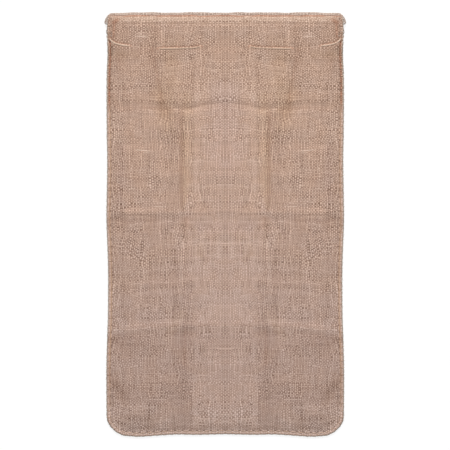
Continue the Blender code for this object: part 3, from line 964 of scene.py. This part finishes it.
twineLook = {
    "lineIn": 6.3,
    "lineRadius": 0.62,
    "lineSway": 0.25,
    "lineArch": (0.55, -0.25),  # rise in the middle of a stitch, and level at its ends
    "lineSink": 1.2,
    "wrapIn": 7.0,
    "wrapRadius": 0.42,
    "wrapSlip": 2.2,  # how far a wrap leans along the seam
    "sunkFrom": 205.0,  # above this the twine is drawn down into the groove
    "floorReach": -0.58,  # the lowest that twine goes under the sack
}


def seamPoint(length, inwards, half):
    # a point beside the outline; half is 1 on the right and -1 on the left
    place, heading = outlineAt(length)
    x, y = place + inwards * np.array([-heading[1], heading[0]])
    return half * float(x), float(y)


def makeTwine(front, back, finish):
    look = twineLook
    spool = Spool()
    pitch, radius = sack["stitchPitch"], look["lineRadius"]
    rise, ends = look["lineArch"]
    count = int((outlineLengths[-1] - 6.0) / pitch)
    for half in (1.0, -1.0):
        for index in range(count):
            start = index * pitch
            for face, surface in ((1, front), (-1, back)):
                path = []
                for t in np.linspace(0.07, 0.93, 7):
                    sway = look["lineSway"] * math.sin(7.0 * index + 3.0 * t)
                    x, y = seamPoint(start + t * pitch, look["lineIn"] + sway, half)
                    sink = look["lineSink"] if (y > look["sunkFrom"] and face > 0) else 0.0
                    arch = rise * math.sin(math.pi * t) + ends - sink
                    z = levelAt(surface, x, y, face, seamLevel) + face * arch
                    path.append((x, y, max(z, look["floorReach"] + radius)))
                spool.tube(np.array(path), radius, 5, taper=0.12, offset=37.0 * index)
            if index > 0 or half > 0:
                path, across = wrapPath(start, half, front, back), (0.6, 0.8, 0.0)
                spool.tube(path, look["wrapRadius"], 5, across=across, taper=0.06, offset=19.0 * index)
    twine = spool.wind("seamTwine", finish)
    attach(twine, "root")
    return twine


def wrapPath(length, half, front, back):
    # over the edge from the hole in the front to the hole in the back
    look = twineLook
    slip, deep = look["wrapSlip"], look["wrapIn"]
    low = look["floorReach"] + look["wrapRadius"]
    edgeZ = levelAt(back, *seamPoint(length, 1.7, half), -1, 0.05)
    over = ((0.0, deep, -0.45), (0.08, deep - 0.7, 0.15), (0.25, 4.2, 0.30), (0.4, 2.0, 0.32))
    under = ((0.6, 2.0, 0.1), (0.75, 4.2, 0.1), (0.92, deep - 0.7, 0.1), (1.0, deep, -0.45))
    path = []
    for part, inwards, lift in over:
        x, y = seamPoint(length + slip * (part - 0.5), inwards, half)
        path.append((x, y, levelAt(front, x, y, 1, seamLevel) + lift))
    topZ = path[-1][2]
    turning = ((0.46, 0.55, topZ - 0.15), (0.5, 0.15, (topZ + edgeZ) / 2), (0.54, 0.55, edgeZ + 0.1))
    for part, inwards, z in turning:
        path.append((*seamPoint(length + slip * (part - 0.5), inwards, half), z))
    for part, inwards, lift in under:
        x, y = seamPoint(length + slip * (part - 0.5), inwards, half)
        path.append((x, y, max(levelAt(back, x, y, -1, 0.05) - lift, low)))
    return np.array(path)


# sewing of the two hems

hemLook = {
    "pitch": 5.0,
    "length": 3.1,
    "radius": 0.3,
    "end": 186.0,
    "arch": 0.28,
    "sunk": 0.12,
    "lowest": -0.25,
}


def makeHemStitches(front, back, finish):
    spool = Spool()
    for mouth, surface, face in ((sack["frontMouth"], front, 1), (sack["backMouth"], back, -1)):
        line = mouth - sack["hemDepth"]
        for x in np.arange(-hemLook["end"], hemLook["end"] + 0.1, hemLook["pitch"]):
            middle = x + hemLook["pitch"] / 2
            path = []
            for t in np.linspace(-0.5, 0.5, 5):
                at = middle + t * hemLook["length"]
                lift = hemLook["arch"] * math.cos(math.pi * t) - hemLook["sunk"]
                z = levelAt(surface, at, line, face, 10.0) + face * lift
                path.append((at, line + 0.12 * math.sin(at), max(z, hemLook["lowest"])))
            spool.tube(np.array(path), hemLook["radius"], 4, taper=0.2, offset=11.0 * x)
    stitches = spool.wind("hemStitches", finish)
    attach(stitches, "root")
    return stitches


# frayed twine ends that stand out at the mouth's two corners, and light threads woven in

endLook = {
    # loops of twine outside the edge: radius, then (x, y, z) points
    "loops": (
        (1.25, (
            (196.0, 351.0, 7.0), (199.0, 349.2, 7.2), (200.9, 346.2, 6.2), (202.1, 342.6, 5.0),
            (203.0, 340.4, 4.2), (202.3, 338.6, 3.6), (200.6, 337.4, 3.4), (198.2, 337.0, 4.0),
        )),
        (1.15, (
            (197.8, 347.0, 7.2), (199.8, 344.8, 6.6), (200.8, 342.4, 5.6), (200.6, 340.2, 5.4),
            (198.4, 339.0, 6.6),
        )),
        (0.8, (
            (198.0, 329.4, 6.4), (199.7, 327.4, 5.2), (200.4, 324.6, 4.0), (199.8, 321.8, 3.4),
            (198.0, 320.0, 3.6),
        )),
        (0.6, ((198.2, 318.8, 6.0), (199.8, 317.4, 4.8), (199.7, 315.4, 4.2), (198.2, 314.6, 5.2))),
    ),
    # bright stitches on the corner: from x, y, to x, y, radius
    "bars": (
        (189.6, 317.9, 193.4, 317.5, 0.62), (193.0, 325.6, 196.8, 324.4, 0.5),
        (193.4, 331.6, 196.8, 330.4, 0.5), (190.0, 322.2, 192.6, 321.4, 0.4),
    ),
    # thicker light threads in the weave: from x, y, to x, y, radius
    "slubs": (
        (120.0, 314.2, 160.0, 317.6, 0.65), (116.0, 122.4, 160.0, 126.4, 0.72),
        (122.0, 120.6, 141.0, 120.2, 0.4), (181.0, 82.0, 180.6, 67.0, 0.45),
        (150.0, 60.2, 164.0, 60.0, 0.45), (97.0, 30.4, 126.0, 30.0, 0.4), (38.0, 176.0, 39.5, 152.0, 0.35),
        (154.0, 104.0, 160.5, 84.0, 0.4), (108.0, 64.0, 110.0, 40.0, 0.4),
        (164.0, -116.0, 141.0, -124.0, 0.4), (88.0, -132.0, 96.0, -152.0, 0.35),
        (118.0, -262.0, 119.0, -284.0, 0.35), (24.0, -206.0, 25.0, -228.0, 0.35),
        (52.0, -300.0, 76.0, -301.0, 0.35),
    ),
}


def laidPath(surface, x0, y0, x1, y1, sunk, points=9, bow=0.6):
    # a thread lying on the front panel, its ends going down into the weave
    path = []
    for t in np.linspace(0.0, 1.0, points):
        x = x0 + (x1 - x0) * t + bow * math.sin(math.pi * t) * (y1 - y0) / (abs(y1 - y0) + abs(x1 - x0))
        y = y0 + (y1 - y0) * t
        dip = 0.5 * (1.0 - abs(math.sin(math.pi * t)) ** 0.3)
        path.append((x, y, levelAt(surface, x, y, 1, 8.0) - sunk - dip))
    return np.array(path)


def makeEnds(front, finish):
    spool = Spool()
    for half in (1.0, -1.0):
        for radius, points in endLook["loops"]:
            path = np.array(points) * np.array([half, 1.0, 1.0])
            path = soften(resample(path, 1.1), 2, False)
            spool.twist(path, radius, 2, 5.0, 5, across=(0.3, 0.2, 1.0), taper=0.15)
        for x0, y0, x1, y1, radius in endLook["bars"]:
            path = laidPath(front, half * x0, y0, half * x1, y1, -0.25, points=6, bow=0.0)
            spool.tube(path, radius, 5, taper=0.25)
    ends = spool.wind("twineEnds", finish)
    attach(ends, "root")
    return ends


def makeSlubs(front, finish):
    spool = Spool()
    for half in (1.0, -1.0):
        for x0, y0, x1, y1, radius in endLook["slubs"]:
            spool.tube(laidPath(front, half * x0, y0, half * x1, y1, radius * 0.35), radius, 5, taper=0.3)
    slubs = spool.wind("slubThreads", finish)
    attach(slubs, "root")
    return slubs


# loose jute fibres: on both faces, and standing out round the edge

fuzzLook = {
    "seed": 31,
    "front": 900,
    "back": 260,
    "edge": 420,
    "radius": 0.09,
    "length": (3.0, 11.0),
    "lift": (0.02, 0.45),
    "edgeOut": (0.6, 2.6),
    "edgeIn": 1.5,
    "field": (194.0, -344.0, 346.0),  # half width, and from where to where
    "lowest": -0.5,
}


def addFibre(spool, path, random):
    offset = random.uniform(0, 900)
    spool.tube(np.array(path), fuzzLook["radius"], 3, across=(0.3, 0.2, 1.0), taper=0.4, offset=offset)


def makeFuzz(front, back, finish):
    look = fuzzLook
    spool = Spool()
    random = np.random.default_rng(look["seed"])
    shortest, longest = look["length"]
    clear, lift = look["lift"]
    wide, foot, head = look["field"]
    for face, surface, count in ((1, front, look["front"]), (-1, back, look["back"])):
        for _ in range(count):
            x, y = random.uniform(-wide, wide), random.uniform(foot, head)
            length, turn = random.uniform(shortest, longest), random.uniform(0.0, 2 * math.pi)
            curl, path = random.uniform(-1.6, 1.6), []
            for t in np.linspace(0.0, 1.0, 5):
                level = levelAt(surface, x, y, face, None)
                if level is None:
                    break
                z = level + face * (clear + lift * math.sin(math.pi * t) * length / longest)
                path.append((x, y, max(z, look["lowest"])))
                x, y = x + length / 5 * math.cos(turn + curl * t), y + length / 5 * math.sin(turn + curl * t)
            if len(path) == 5:
                addFibre(spool, path, random)
    (nearest, furthest), start = look["edgeOut"], look["edgeIn"]
    for _ in range(look["edge"]):
        half = 1.0 if random.random() < 0.5 else -1.0
        length, slant = random.uniform(0.0, outlineLengths[-1]), random.uniform(-3.0, 3.0)
        out, level = random.uniform(nearest, furthest), random.uniform(0.3, 2.6)
        path = []
        for t in np.linspace(0.0, 1.0, 5):
            inwards = start - (start + out) * math.sin(0.5 * math.pi * t)
            x, y = seamPoint(min(length + slant * t, outlineLengths[-1] - 1.0), inwards, half)
            path.append((x, y, max(level + 0.8 * t * math.sin(5.0 * length), 0.0)))
        addFibre(spool, path, random)
    fuzz = spool.wind("looseFibres", finish)
    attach(fuzz, "root")
    return fuzz


# materials: sums on wires, which are values in a node tree, become maths nodes

class Wire:
    def __init__(self, socket):
        self.socket, self.tree = socket, socket.id_data

    def maths(self, operation, *others):
        return sumOf(operation, self, *others)

    def __add__(self, other):
        return sumOf("ADD", self, other)

    def __radd__(self, other):
        return sumOf("ADD", other, self)

    def __sub__(self, other):
        return sumOf("SUBTRACT", self, other)

    def __rsub__(self, other):
        return sumOf("SUBTRACT", other, self)

    def __mul__(self, other):
        return sumOf("MULTIPLY", self, other)

    def __truediv__(self, other):
        return sumOf("DIVIDE", self, other)


def addNode(tree, kind, inputs=None, **settings):
    node = tree.nodes.new(kind)
    for key, value in settings.items():
        setattr(node, key, value)
    for key, value in (inputs or {}).items():
        if isinstance(value, Wire):
            tree.links.new(value.socket, node.inputs[key])
        else:
            node.inputs[key].default_value = value
    return {key: Wire(socket) for place, socket in enumerate(node.outputs) for key in (place, socket.name)}


def joined(kind, values, inputs=None, **settings):
    # outputs of a new node in the tree of the first wire among the values
    tree = next(value.tree for value in values if isinstance(value, Wire))
    return addNode(tree, kind, dict(enumerate(values)) if inputs is None else inputs, **settings)


def sumOf(operation, *values):
    return joined("ShaderNodeMath", values, operation=operation)[0]


def vector(x, y, z=0.0):
    return joined("ShaderNodeCombineXYZ", (x, y, z))[0]


def parts(wire):
    split = joined("ShaderNodeSeparateXYZ", (wire,))
    return split[0], split[1], split[2]


def cloud(place, scale, detail=1.0, output="Fac"):
    inputs = {"Vector": place, "Scale": scale, "Detail": detail}
    return addNode(place.tree, "ShaderNodeTexNoise", inputs)[output]


def chance(wire, socket="W", dimensions="1D"):
    return addNode(wire.tree, "ShaderNodeTexWhiteNoise", {socket: wire}, noise_dimensions=dimensions)["Value"]


def between(value, low, high, toLow=0.0, toHigh=1.0):
    # the value's place between low and high, softly held at the ends
    return joined("ShaderNodeMapRange", (value, low, high, toLow, toHigh), interpolation_type="SMOOTHSTEP")[0]


def band(value, rise, full, fall, end):
    return between(value, rise, full) * between(value, fall, end, 1.0, 0.0)


def mixed(factor, first, second):
    return joined("ShaderNodeMix", (factor,), {0: factor, 2: first, 3: second})[0]


def blendColour(factor, first, second, kind="MIX"):
    inputs = {0: factor, 6: first, 7: second}
    return joined("ShaderNodeMix", (factor, first, second), inputs, data_type="RGBA", blend_type=kind)[2]


weaveLook = {
    "warpPitch": 2.83 * mm,
    "weftPitch": 2.33 * mm,
    "wander": 16.0 * mm,
    "wanderScale": 21.0,
    "crowding": (120.0, 2.4),  # threads closer and wider apart: scale, and by how many threads
    "thin": 0.195,  # half width of the thinnest threads, of the pitch
    "uneven": 0.25,
    "luckWidth": 0.08,
    # painted shade across the round threads: darker at their edges and where they dive under
    "meanRound": 0.70,
    "deepen": 1.42,
    "darkest": 0.12,
    "brightest": 0.50,
    "level": 1.068,
    "round": 0.93,
    "warpRound": 0.90,  # share of that for each set of threads
    "weftRound": 1.20,
    "plainer": 1.30,  # how much more the warp stands out below the top fold
    "plainFrom": 0.15,  # metres along the sack
    "plainTo": 0.21,
    "speck": 0.50,
    "speckBase": 0.27,
    "checker": 0.30,  # warp lighter than weft where it lies on top: partly the two sets' own tone, partly painted light on the raised upright threads
    "rib": 0.85,
    "threadTone": 0.14,  # from thread to thread
    "warpStreak": 0.55,  # along each thread
    "weftStreak": 0.52,
    "fibreTone": 0.6,
    "fibres": (2600.0, 260.0, 0.32),  # fineness across and along a thread, and slant
    "gapBelow": -0.35,
    "middle": 0.02,  # metres from the middle over which the wander comes in
    "contrast": (19.0, 0.36, 0.64, 0.65, 1.2),  # scale, then from, to, low and high
    "archRound": (-0.15, 0.95),
    "waveRound": (-0.9, 0.75, 0.45, 1.0),
    "ribPatches": (0.35, 60.0),  # how long along the sack, and scale
    "drift": 36.0,
    "floor": -0.7,  # how deep a gap is, in pitches
    "fibreRise": 0.12,
}


def buildWeave():
    # plain weave: upright warp threads at even columns, weft threads across, each wandering and uneven
    look = weaveLook
    group = bpy.data.node_groups.new("juteWeave", "ShaderNodeTree")
    for name in ("Place", "Warp pitch", "Weft pitch", "Wander", "Seed"):
        kind = "NodeSocketVector" if name == "Place" else "NodeSocketFloat"
        group.interface.new_socket(name=name, in_out="INPUT", socket_type=kind)
    for name in ("Tone", "Gap", "Height", "Drift"):
        group.interface.new_socket(name=name, in_out="OUTPUT", socket_type="NodeSocketFloat")
    given = addNode(group, "NodeGroupInput")
    taken = group.nodes.new("NodeGroupOutput").inputs

    sideways, y, _ = parts(given["Place"])
    x, seed = sideways.maths("ABSOLUTE"), given["Seed"]
    hold = between(x, 0.0, look["middle"])  # the two halves meet without a jump
    here = vector(x, y, seed)
    wander = parts(cloud(here, look["wanderScale"], 2.0, "Color"))
    scale, crowd = look["crowding"]
    crowdU = (cloud(vector(x, 3.3, seed), scale, 2.0) - 0.5) * (hold * crowd)
    crowdV = (cloud(vector(7.7, y, seed), scale, 2.0) - 0.5) * crowd
    u = (x + (wander[0] - 0.5) * given["Wander"] * hold) / given["Warp pitch"] + crowdU
    v = (y + (wander[1] - 0.5) * given["Wander"]) / given["Weft pitch"] + crowdV
    i, j = u.maths("ROUND"), v.maths("ROUND")
    lowDown = between(y, look["plainFrom"], look["plainTo"], look["plainer"], 1.0)

    def thread(number, salt, run, offset, wave, streak, share):
        # (height, tone, painted shade across the round thread) of one set of threads
        luck = chance(number + salt)
        slow = cloud(vector(number * 5.3, run * 17.0, salt), 1.0, 2.0)
        part = offset / (slow * look["uneven"] + (luck * look["luckWidth"] + look["thin"]))
        arch = (1.0 - part * part).maths("MAXIMUM", 0.0).maths("SQRT")
        height = arch * 0.6 + wave * 0.4 - arch.maths("LESS_THAN", 0.02) * 1.2
        tone = (luck - 0.5) * look["threadTone"] + (slow - 0.5) * streak
        roundShade = between(arch, *look["archRound"]) * between(wave, *look["waveRound"]) - look["meanRound"]
        return height, tone, roundShade * share

    warpWave = ((v + i) * math.pi).maths("COSINE")
    weftWave = ((u + j) * math.pi).maths("COSINE") * -1.0
    warp = thread(i, 3.17, y, u - i, warpWave, look["warpStreak"], lowDown * look["warpRound"])
    weft = thread(j, 41.3, x, v - j, weftWave, look["weftStreak"], look["weftRound"])
    top, isWarp = warp[0].maths("MAXIMUM", weft[0]), warp[0].maths("GREATER_THAN", weft[0])
    # fibres run along each thread, a little slanted by its twist
    fine, coarse, slant = look["fibres"]
    fibresWarp = cloud(vector((x + y * slant) * fine, y * coarse, 1.0), 1.0, 2.0)
    fibresWeft = cloud(vector(x * coarse, (y + x * slant) * fine, 5.0), 1.0, 2.0)
    fibre = mixed(isWarp, fibresWeft, fibresWarp)
    own, roundShade = mixed(isWarp, weft[1], warp[1]), mixed(isWarp, weft[2], warp[2])

    scale, *limits = look["contrast"]
    contrast = between(cloud(here, scale, 1.0), *limits)
    cell = chance(vector(i, j, 3.0), "Vector", "3D")
    chosen = (isWarp * 2.0 - 1.0) * (cell - look["speckBase"])
    acrossWave = (u * math.pi).maths("COSINE")
    checker = acrossWave * (v * math.pi).maths("COSINE") * contrast
    long, scale = look["ribPatches"]
    rib = acrossWave * lowDown * (cloud(vector(x, y * long, 9.0), scale, 1.0) - 0.5)
    speck = chosen * (contrast * look["speck"]) + checker * look["checker"] + rib * look["rib"]
    shade = roundShade * (contrast * look["round"])
    tone = 1.0 + speck + shade + (own * contrast + (fibre - 0.5) * look["fibreTone"])
    # painted shade at the threads' edges and other dark parts is deepened, and bright specks are held back
    dark = (tone - 1.0).maths("MINIMUM", 0.0) * look["deepen"]
    bright = (tone - 1.0).maths("MAXIMUM", 0.0).maths("SMOOTH_MIN", look["brightest"], 0.15)
    results = {
        "Tone": (look["level"] + dark + bright).maths("MAXIMUM", look["darkest"]),
        "Gap": top.maths("LESS_THAN", look["gapBelow"]),
        "Height": top.maths("MAXIMUM", look["floor"]) + fibre * look["fibreRise"],
        "Drift": cloud(vector(x, y, 8.0), look["drift"], 2.0),
    }
    for name, wire in results.items():
        group.links.new(wire.socket, taken[name])
    return group


clothLook = {
    "warm": ((0.418, 0.271, 0.199, 1.0), (0.406, 0.269, 0.203, 1.0)),  # two drifting shades near the mouth
    "cool": ((0.393, 0.266, 0.211, 1.0), (0.387, 0.268, 0.219, 1.0)),  # and near the bottom
    "warmFrom": -0.22,  # metres along the sack, where it starts to warm
    "warmTo": 0.16,
    "pinker": (0.985, 1.0, 1.06, 1.0),
    "yellower": (1.015, 1.0, 0.94, 1.0),
    "hem": (0.535, 0.370, 0.278, 1.0),
    "greyed": (0.475, 0.387, 0.330, 1.0),
    # grey of the sewn edge, darkened with painted shade where it turns down
    "rimShade": (0.33, 0.29, 0.245, 1.0),
    "strip": (0.55, 0.395, 0.333, 1.0),
    "band": (0.53, 0.325, 0.215, 1.0),
    # painted shadow in the seam's groove and in the brown shaded places
    "grooveShadow": (0.34, 0.152, 0.090, 1.0),
    # painted shade: the dark inside of the sack seen through the weave's gaps
    "gap": (0.20, 0.118, 0.082, 1.0),
    # painted shade in the needle holes
    "holeShade": (0.16, 0.09, 0.06, 1.0),
    # how much of each colour shows
    "hemShare": 0.9,
    "greyedShare": 0.75,
    "bandShare": 0.7,
    "rimShare": 0.75,
    "grooveShare": 0.88,
    "gapShare": 0.8,
    "dotShare": 0.75,
    "hemDotShare": 0.55,  # of that
    "stripAway": 0.55,  # strip's share beyond the bottom
    "calmHem": 0.4,  # how much weaker the weave is there
    "calmStrip": 0.55,
    "roughness": 0.92,
    "shine": 0.25,
    "bump": 0.55,
    "bumpDepth": 0.0007,
    # how strongly light and dark threads change red, green and blue: light ones are paler, dark ones browner
    "channels": (0.86, 1.03, 1.15),
    # distances in from the sewn edge, in metres
    "rimIn": (0.0014, 0.0026),
    "stripIn": (0.0060, 0.0094),
    "bandIn": (0.0042, 0.0052, 0.0070, 0.0084),
    "grooveIn": (0.0032, 0.0046, 0.0058, 0.0076),
    "needleIn": 0.0076,
    "needleDot": (0.0006, 0.0015),
    "needleStretch": 2.0,
    "hemPitch": 0.005,
    "hemDot": (0.0003, 0.0010),
    # metres along the sack, or along the seam from the middle of the bottom
    "topFold": (0.190, 0.215),
    "footEnds": (0.185, 0.225),
    "sideFrom": (0.225, 0.300),
}


def dots(run, away, pitch, size, stretch=1.0):
    # holes at an even pitch along a line, stretched along it
    phase = ((run / pitch + 0.5).maths("FRACT") - 0.5) * (pitch / stretch)
    return between((phase * phase + away * away).maths("SQRT"), size[0], size[1], 1.0, 0.0)


def clothMaterial(weave):
    look = clothLook
    values = {"Roughness": look["roughness"], "Specular IOR Level": look["shine"]}
    made, tree, shader = newMaterial("juteCloth", values)

    def layer(name):
        return addNode(tree, "ShaderNodeUVMap", uv_map=name)[0]

    def painted(name):
        return addNode(tree, "ShaderNodeAttribute", attribute_name=name, attribute_type="GEOMETRY")["Fac"]

    place = layer("cloth")
    upAt = parts(place)[1]
    run, inwards, _ = parts(layer("seam"))
    hemRun, hemAway, _ = parts(layer("hem"))
    painting = addNode(tree, "ShaderNodeVertexColor", layer_name="paint")
    paint = addNode(tree, "ShaderNodeSeparateColor", {0: painting[0]})
    pitches = {"Warp pitch": weaveLook["warpPitch"], "Weft pitch": weaveLook["weftPitch"]}
    inputs = {"Place": place, "Wander": weaveLook["wander"], **pitches}
    woven = addNode(tree, "ShaderNodeGroup", inputs, node_tree=weave)

    drift = between(woven["Drift"], 0.38, 0.62)
    cool, warm = blendColour(drift, *look["cool"]), blendColour(drift, *look["warm"])
    colour = blendColour(between(upAt, look["warmFrom"], look["warmTo"]), cool, warm)
    hue = blendColour(painting[1], look["pinker"], look["yellower"])
    colour = blendColour(1.0, colour, hue, "MULTIPLY")

    low = between(upAt, *look["topFold"], 1.0, 0.0)
    strip = between(inwards, *look["stripIn"], 1.0, 0.0) * low
    foot = between(run, *look["footEnds"], 1.0, look["stripAway"])
    side = band(inwards, *look["bandIn"]) * low * between(run, *look["sideFrom"])
    # grey sewn edge with painted shade where it turns down
    rimShade = between(inwards, *look["rimIn"], 1.0, 0.0)
    # painted shadow in the seam's groove
    grooveShadow = band(inwards, *look["grooveIn"]) * paint[2]
    for mask, tint in (
        (paint[1] * look["hemShare"], "hem"),
        (painted("grey") * look["greyedShare"], "greyed"),
        (strip * foot, "strip"),
        (side * look["bandShare"], "band"),
        (rimShade * look["rimShare"], "rimShade"),
        (grooveShadow * look["grooveShare"], "grooveShadow"),
        # painted brown shade of the deepest places, in the groove's shadow colour
        (painted("brown"), "grooveShadow"),
    ):
        colour = blendColour(mask, colour, look[tint])

    calmHere = (paint[1] * look["calmHem"]).maths("MAXIMUM", strip * look["calmStrip"])
    # the weave's tone with its painted thread shading, times the painted fold and edge shading
    level = mixed(calmHere, woven["Tone"], 1.0) * (paint[0] * 2.0)
    shades = [level.maths("POWER", power) for power in look["channels"]]
    colour = blendColour(1.0, colour, joined("ShaderNodeCombineColor", shades)[0], "MULTIPLY")
    # painted shade: the dark inside of the sack seen through the gaps
    colour = blendColour(woven["Gap"] * (look["gapShare"] - calmHere), colour, look["gap"])

    # painted shade in the needle holes of the seams and of the hem's stitching
    beside, pitch = inwards - look["needleIn"], sack["stitchPitch"] * mm
    holes = dots(run, beside, pitch, look["needleDot"], look["needleStretch"])
    hemHoles = dots(hemRun, hemAway, look["hemPitch"], look["hemDot"])
    shown = holes.maths("MAXIMUM", hemHoles * look["hemDotShare"]) * look["dotShare"]
    colour = blendColour(shown, colour, look["holeShade"])
    finishMaterial(tree, shader, colour, woven["Height"], look["bump"], look["bumpDepth"])
    return made


def finishMaterial(tree, shader, colour, height, strength, depth):
    bump = addNode(tree, "ShaderNodeBump", {"Strength": strength, "Distance": depth, "Height": height})
    tree.links.new(colour.socket, shader.inputs["Base Color"])
    tree.links.new(bump[0].socket, shader.inputs["Normal"])


yarnFinish = {
    "roughness": 0.85,
    "shine": 0.3,
    "bump": 0.5,
    "bumpDepth": 0.0003,
    "lay": (5.0, 700.0),  # streaks round the strand and along it
    "mottle": 60.0,
    "darkerWithin": (0.120, 0.160),  # metres from the middle of the sack, within which the cord turns darker
}
# the light and dark colour of each yarn, how fine its fibres are, and how much darker its middle is
yarnLook = {
    "juteCord": ((0.74, 0.57, 0.455, 1.0), (0.46, 0.325, 0.24, 1.0), 150.0, 0.8),
    "juteTwine": ((0.50, 0.345, 0.245, 1.0), (0.34, 0.215, 0.145, 1.0), 150.0, 0.0),
    "juteTwineEnd": ((0.62, 0.51, 0.44, 1.0), (0.42, 0.33, 0.28, 1.0), 150.0, 0.0),
    "juteSlub": ((0.72, 0.56, 0.46, 1.0), (0.54, 0.40, 0.32, 1.0), 120.0, 0.0),
}


def yarnMaterial(name):
    # spun yarn: streaks along the strand, which wind round it
    light, dark, fibres, middleDarkening = yarnLook[name]
    values = {"Roughness": yarnFinish["roughness"], "Specular IOR Level": yarnFinish["shine"]}
    made, tree, shader = newMaterial(name, values)
    around, run, _ = parts(addNode(tree, "ShaderNodeUVMap", uv_map="yarn")[0])
    turn, lay = yarnFinish["lay"]
    streak = cloud(vector(around * turn + run * lay, run * fibres, 2.0), 1.0, 2.0)
    slow = cloud(vector(run * yarnFinish["mottle"], 4.0, 1.0), 1.0, 1.0)
    colour = blendColour(between(streak * 0.7 + slow * 0.3, 0.35, 0.65), dark, light)
    if middleDarkening:
        across = parts(addNode(tree, "ShaderNodeTexCoord")["Object"])[0].maths("ABSOLUTE")
        colour = blendColour(between(across, *yarnFinish["darkerWithin"], middleDarkening, 0.0), colour, dark)
    finishMaterial(tree, shader, colour, streak, yarnFinish["bump"], yarnFinish["bumpDepth"])
    return made


# assembly

buildStudio()
cloth = clothMaterial(buildWeave())
cordYarn, twineYarn, endYarn, lightYarn = [yarnMaterial(name) for name in yarnLook]

frontPanel = layPanel("frontPanel", sack["frontMouth"], frontHeight, -1, frontExtra)
frontPanel.data.materials.append(cloth)
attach(frontPanel, "root")
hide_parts("front_panel")

backPanel = layPanel("backPanel", sack["backMouth"], backHeight, 1, backExtra)
backPanel.data.materials.append(cloth)
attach(backPanel, "root")
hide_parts("back_panel")

drawstring = makeDrawstring(cordYarn)
frontSurface, backSurface = surfaceOf(frontPanel), surfaceOf(backPanel)
seamTwine = makeTwine(frontSurface, backSurface, twineYarn)
hemStitches = makeHemStitches(frontSurface, backSurface, twineYarn)
twineEnds = makeEnds(frontSurface, endYarn)
slubThreads = makeSlubs(frontSurface, lightYarn)
looseFibres = makeFuzz(frontSurface, backSurface, lightYarn)
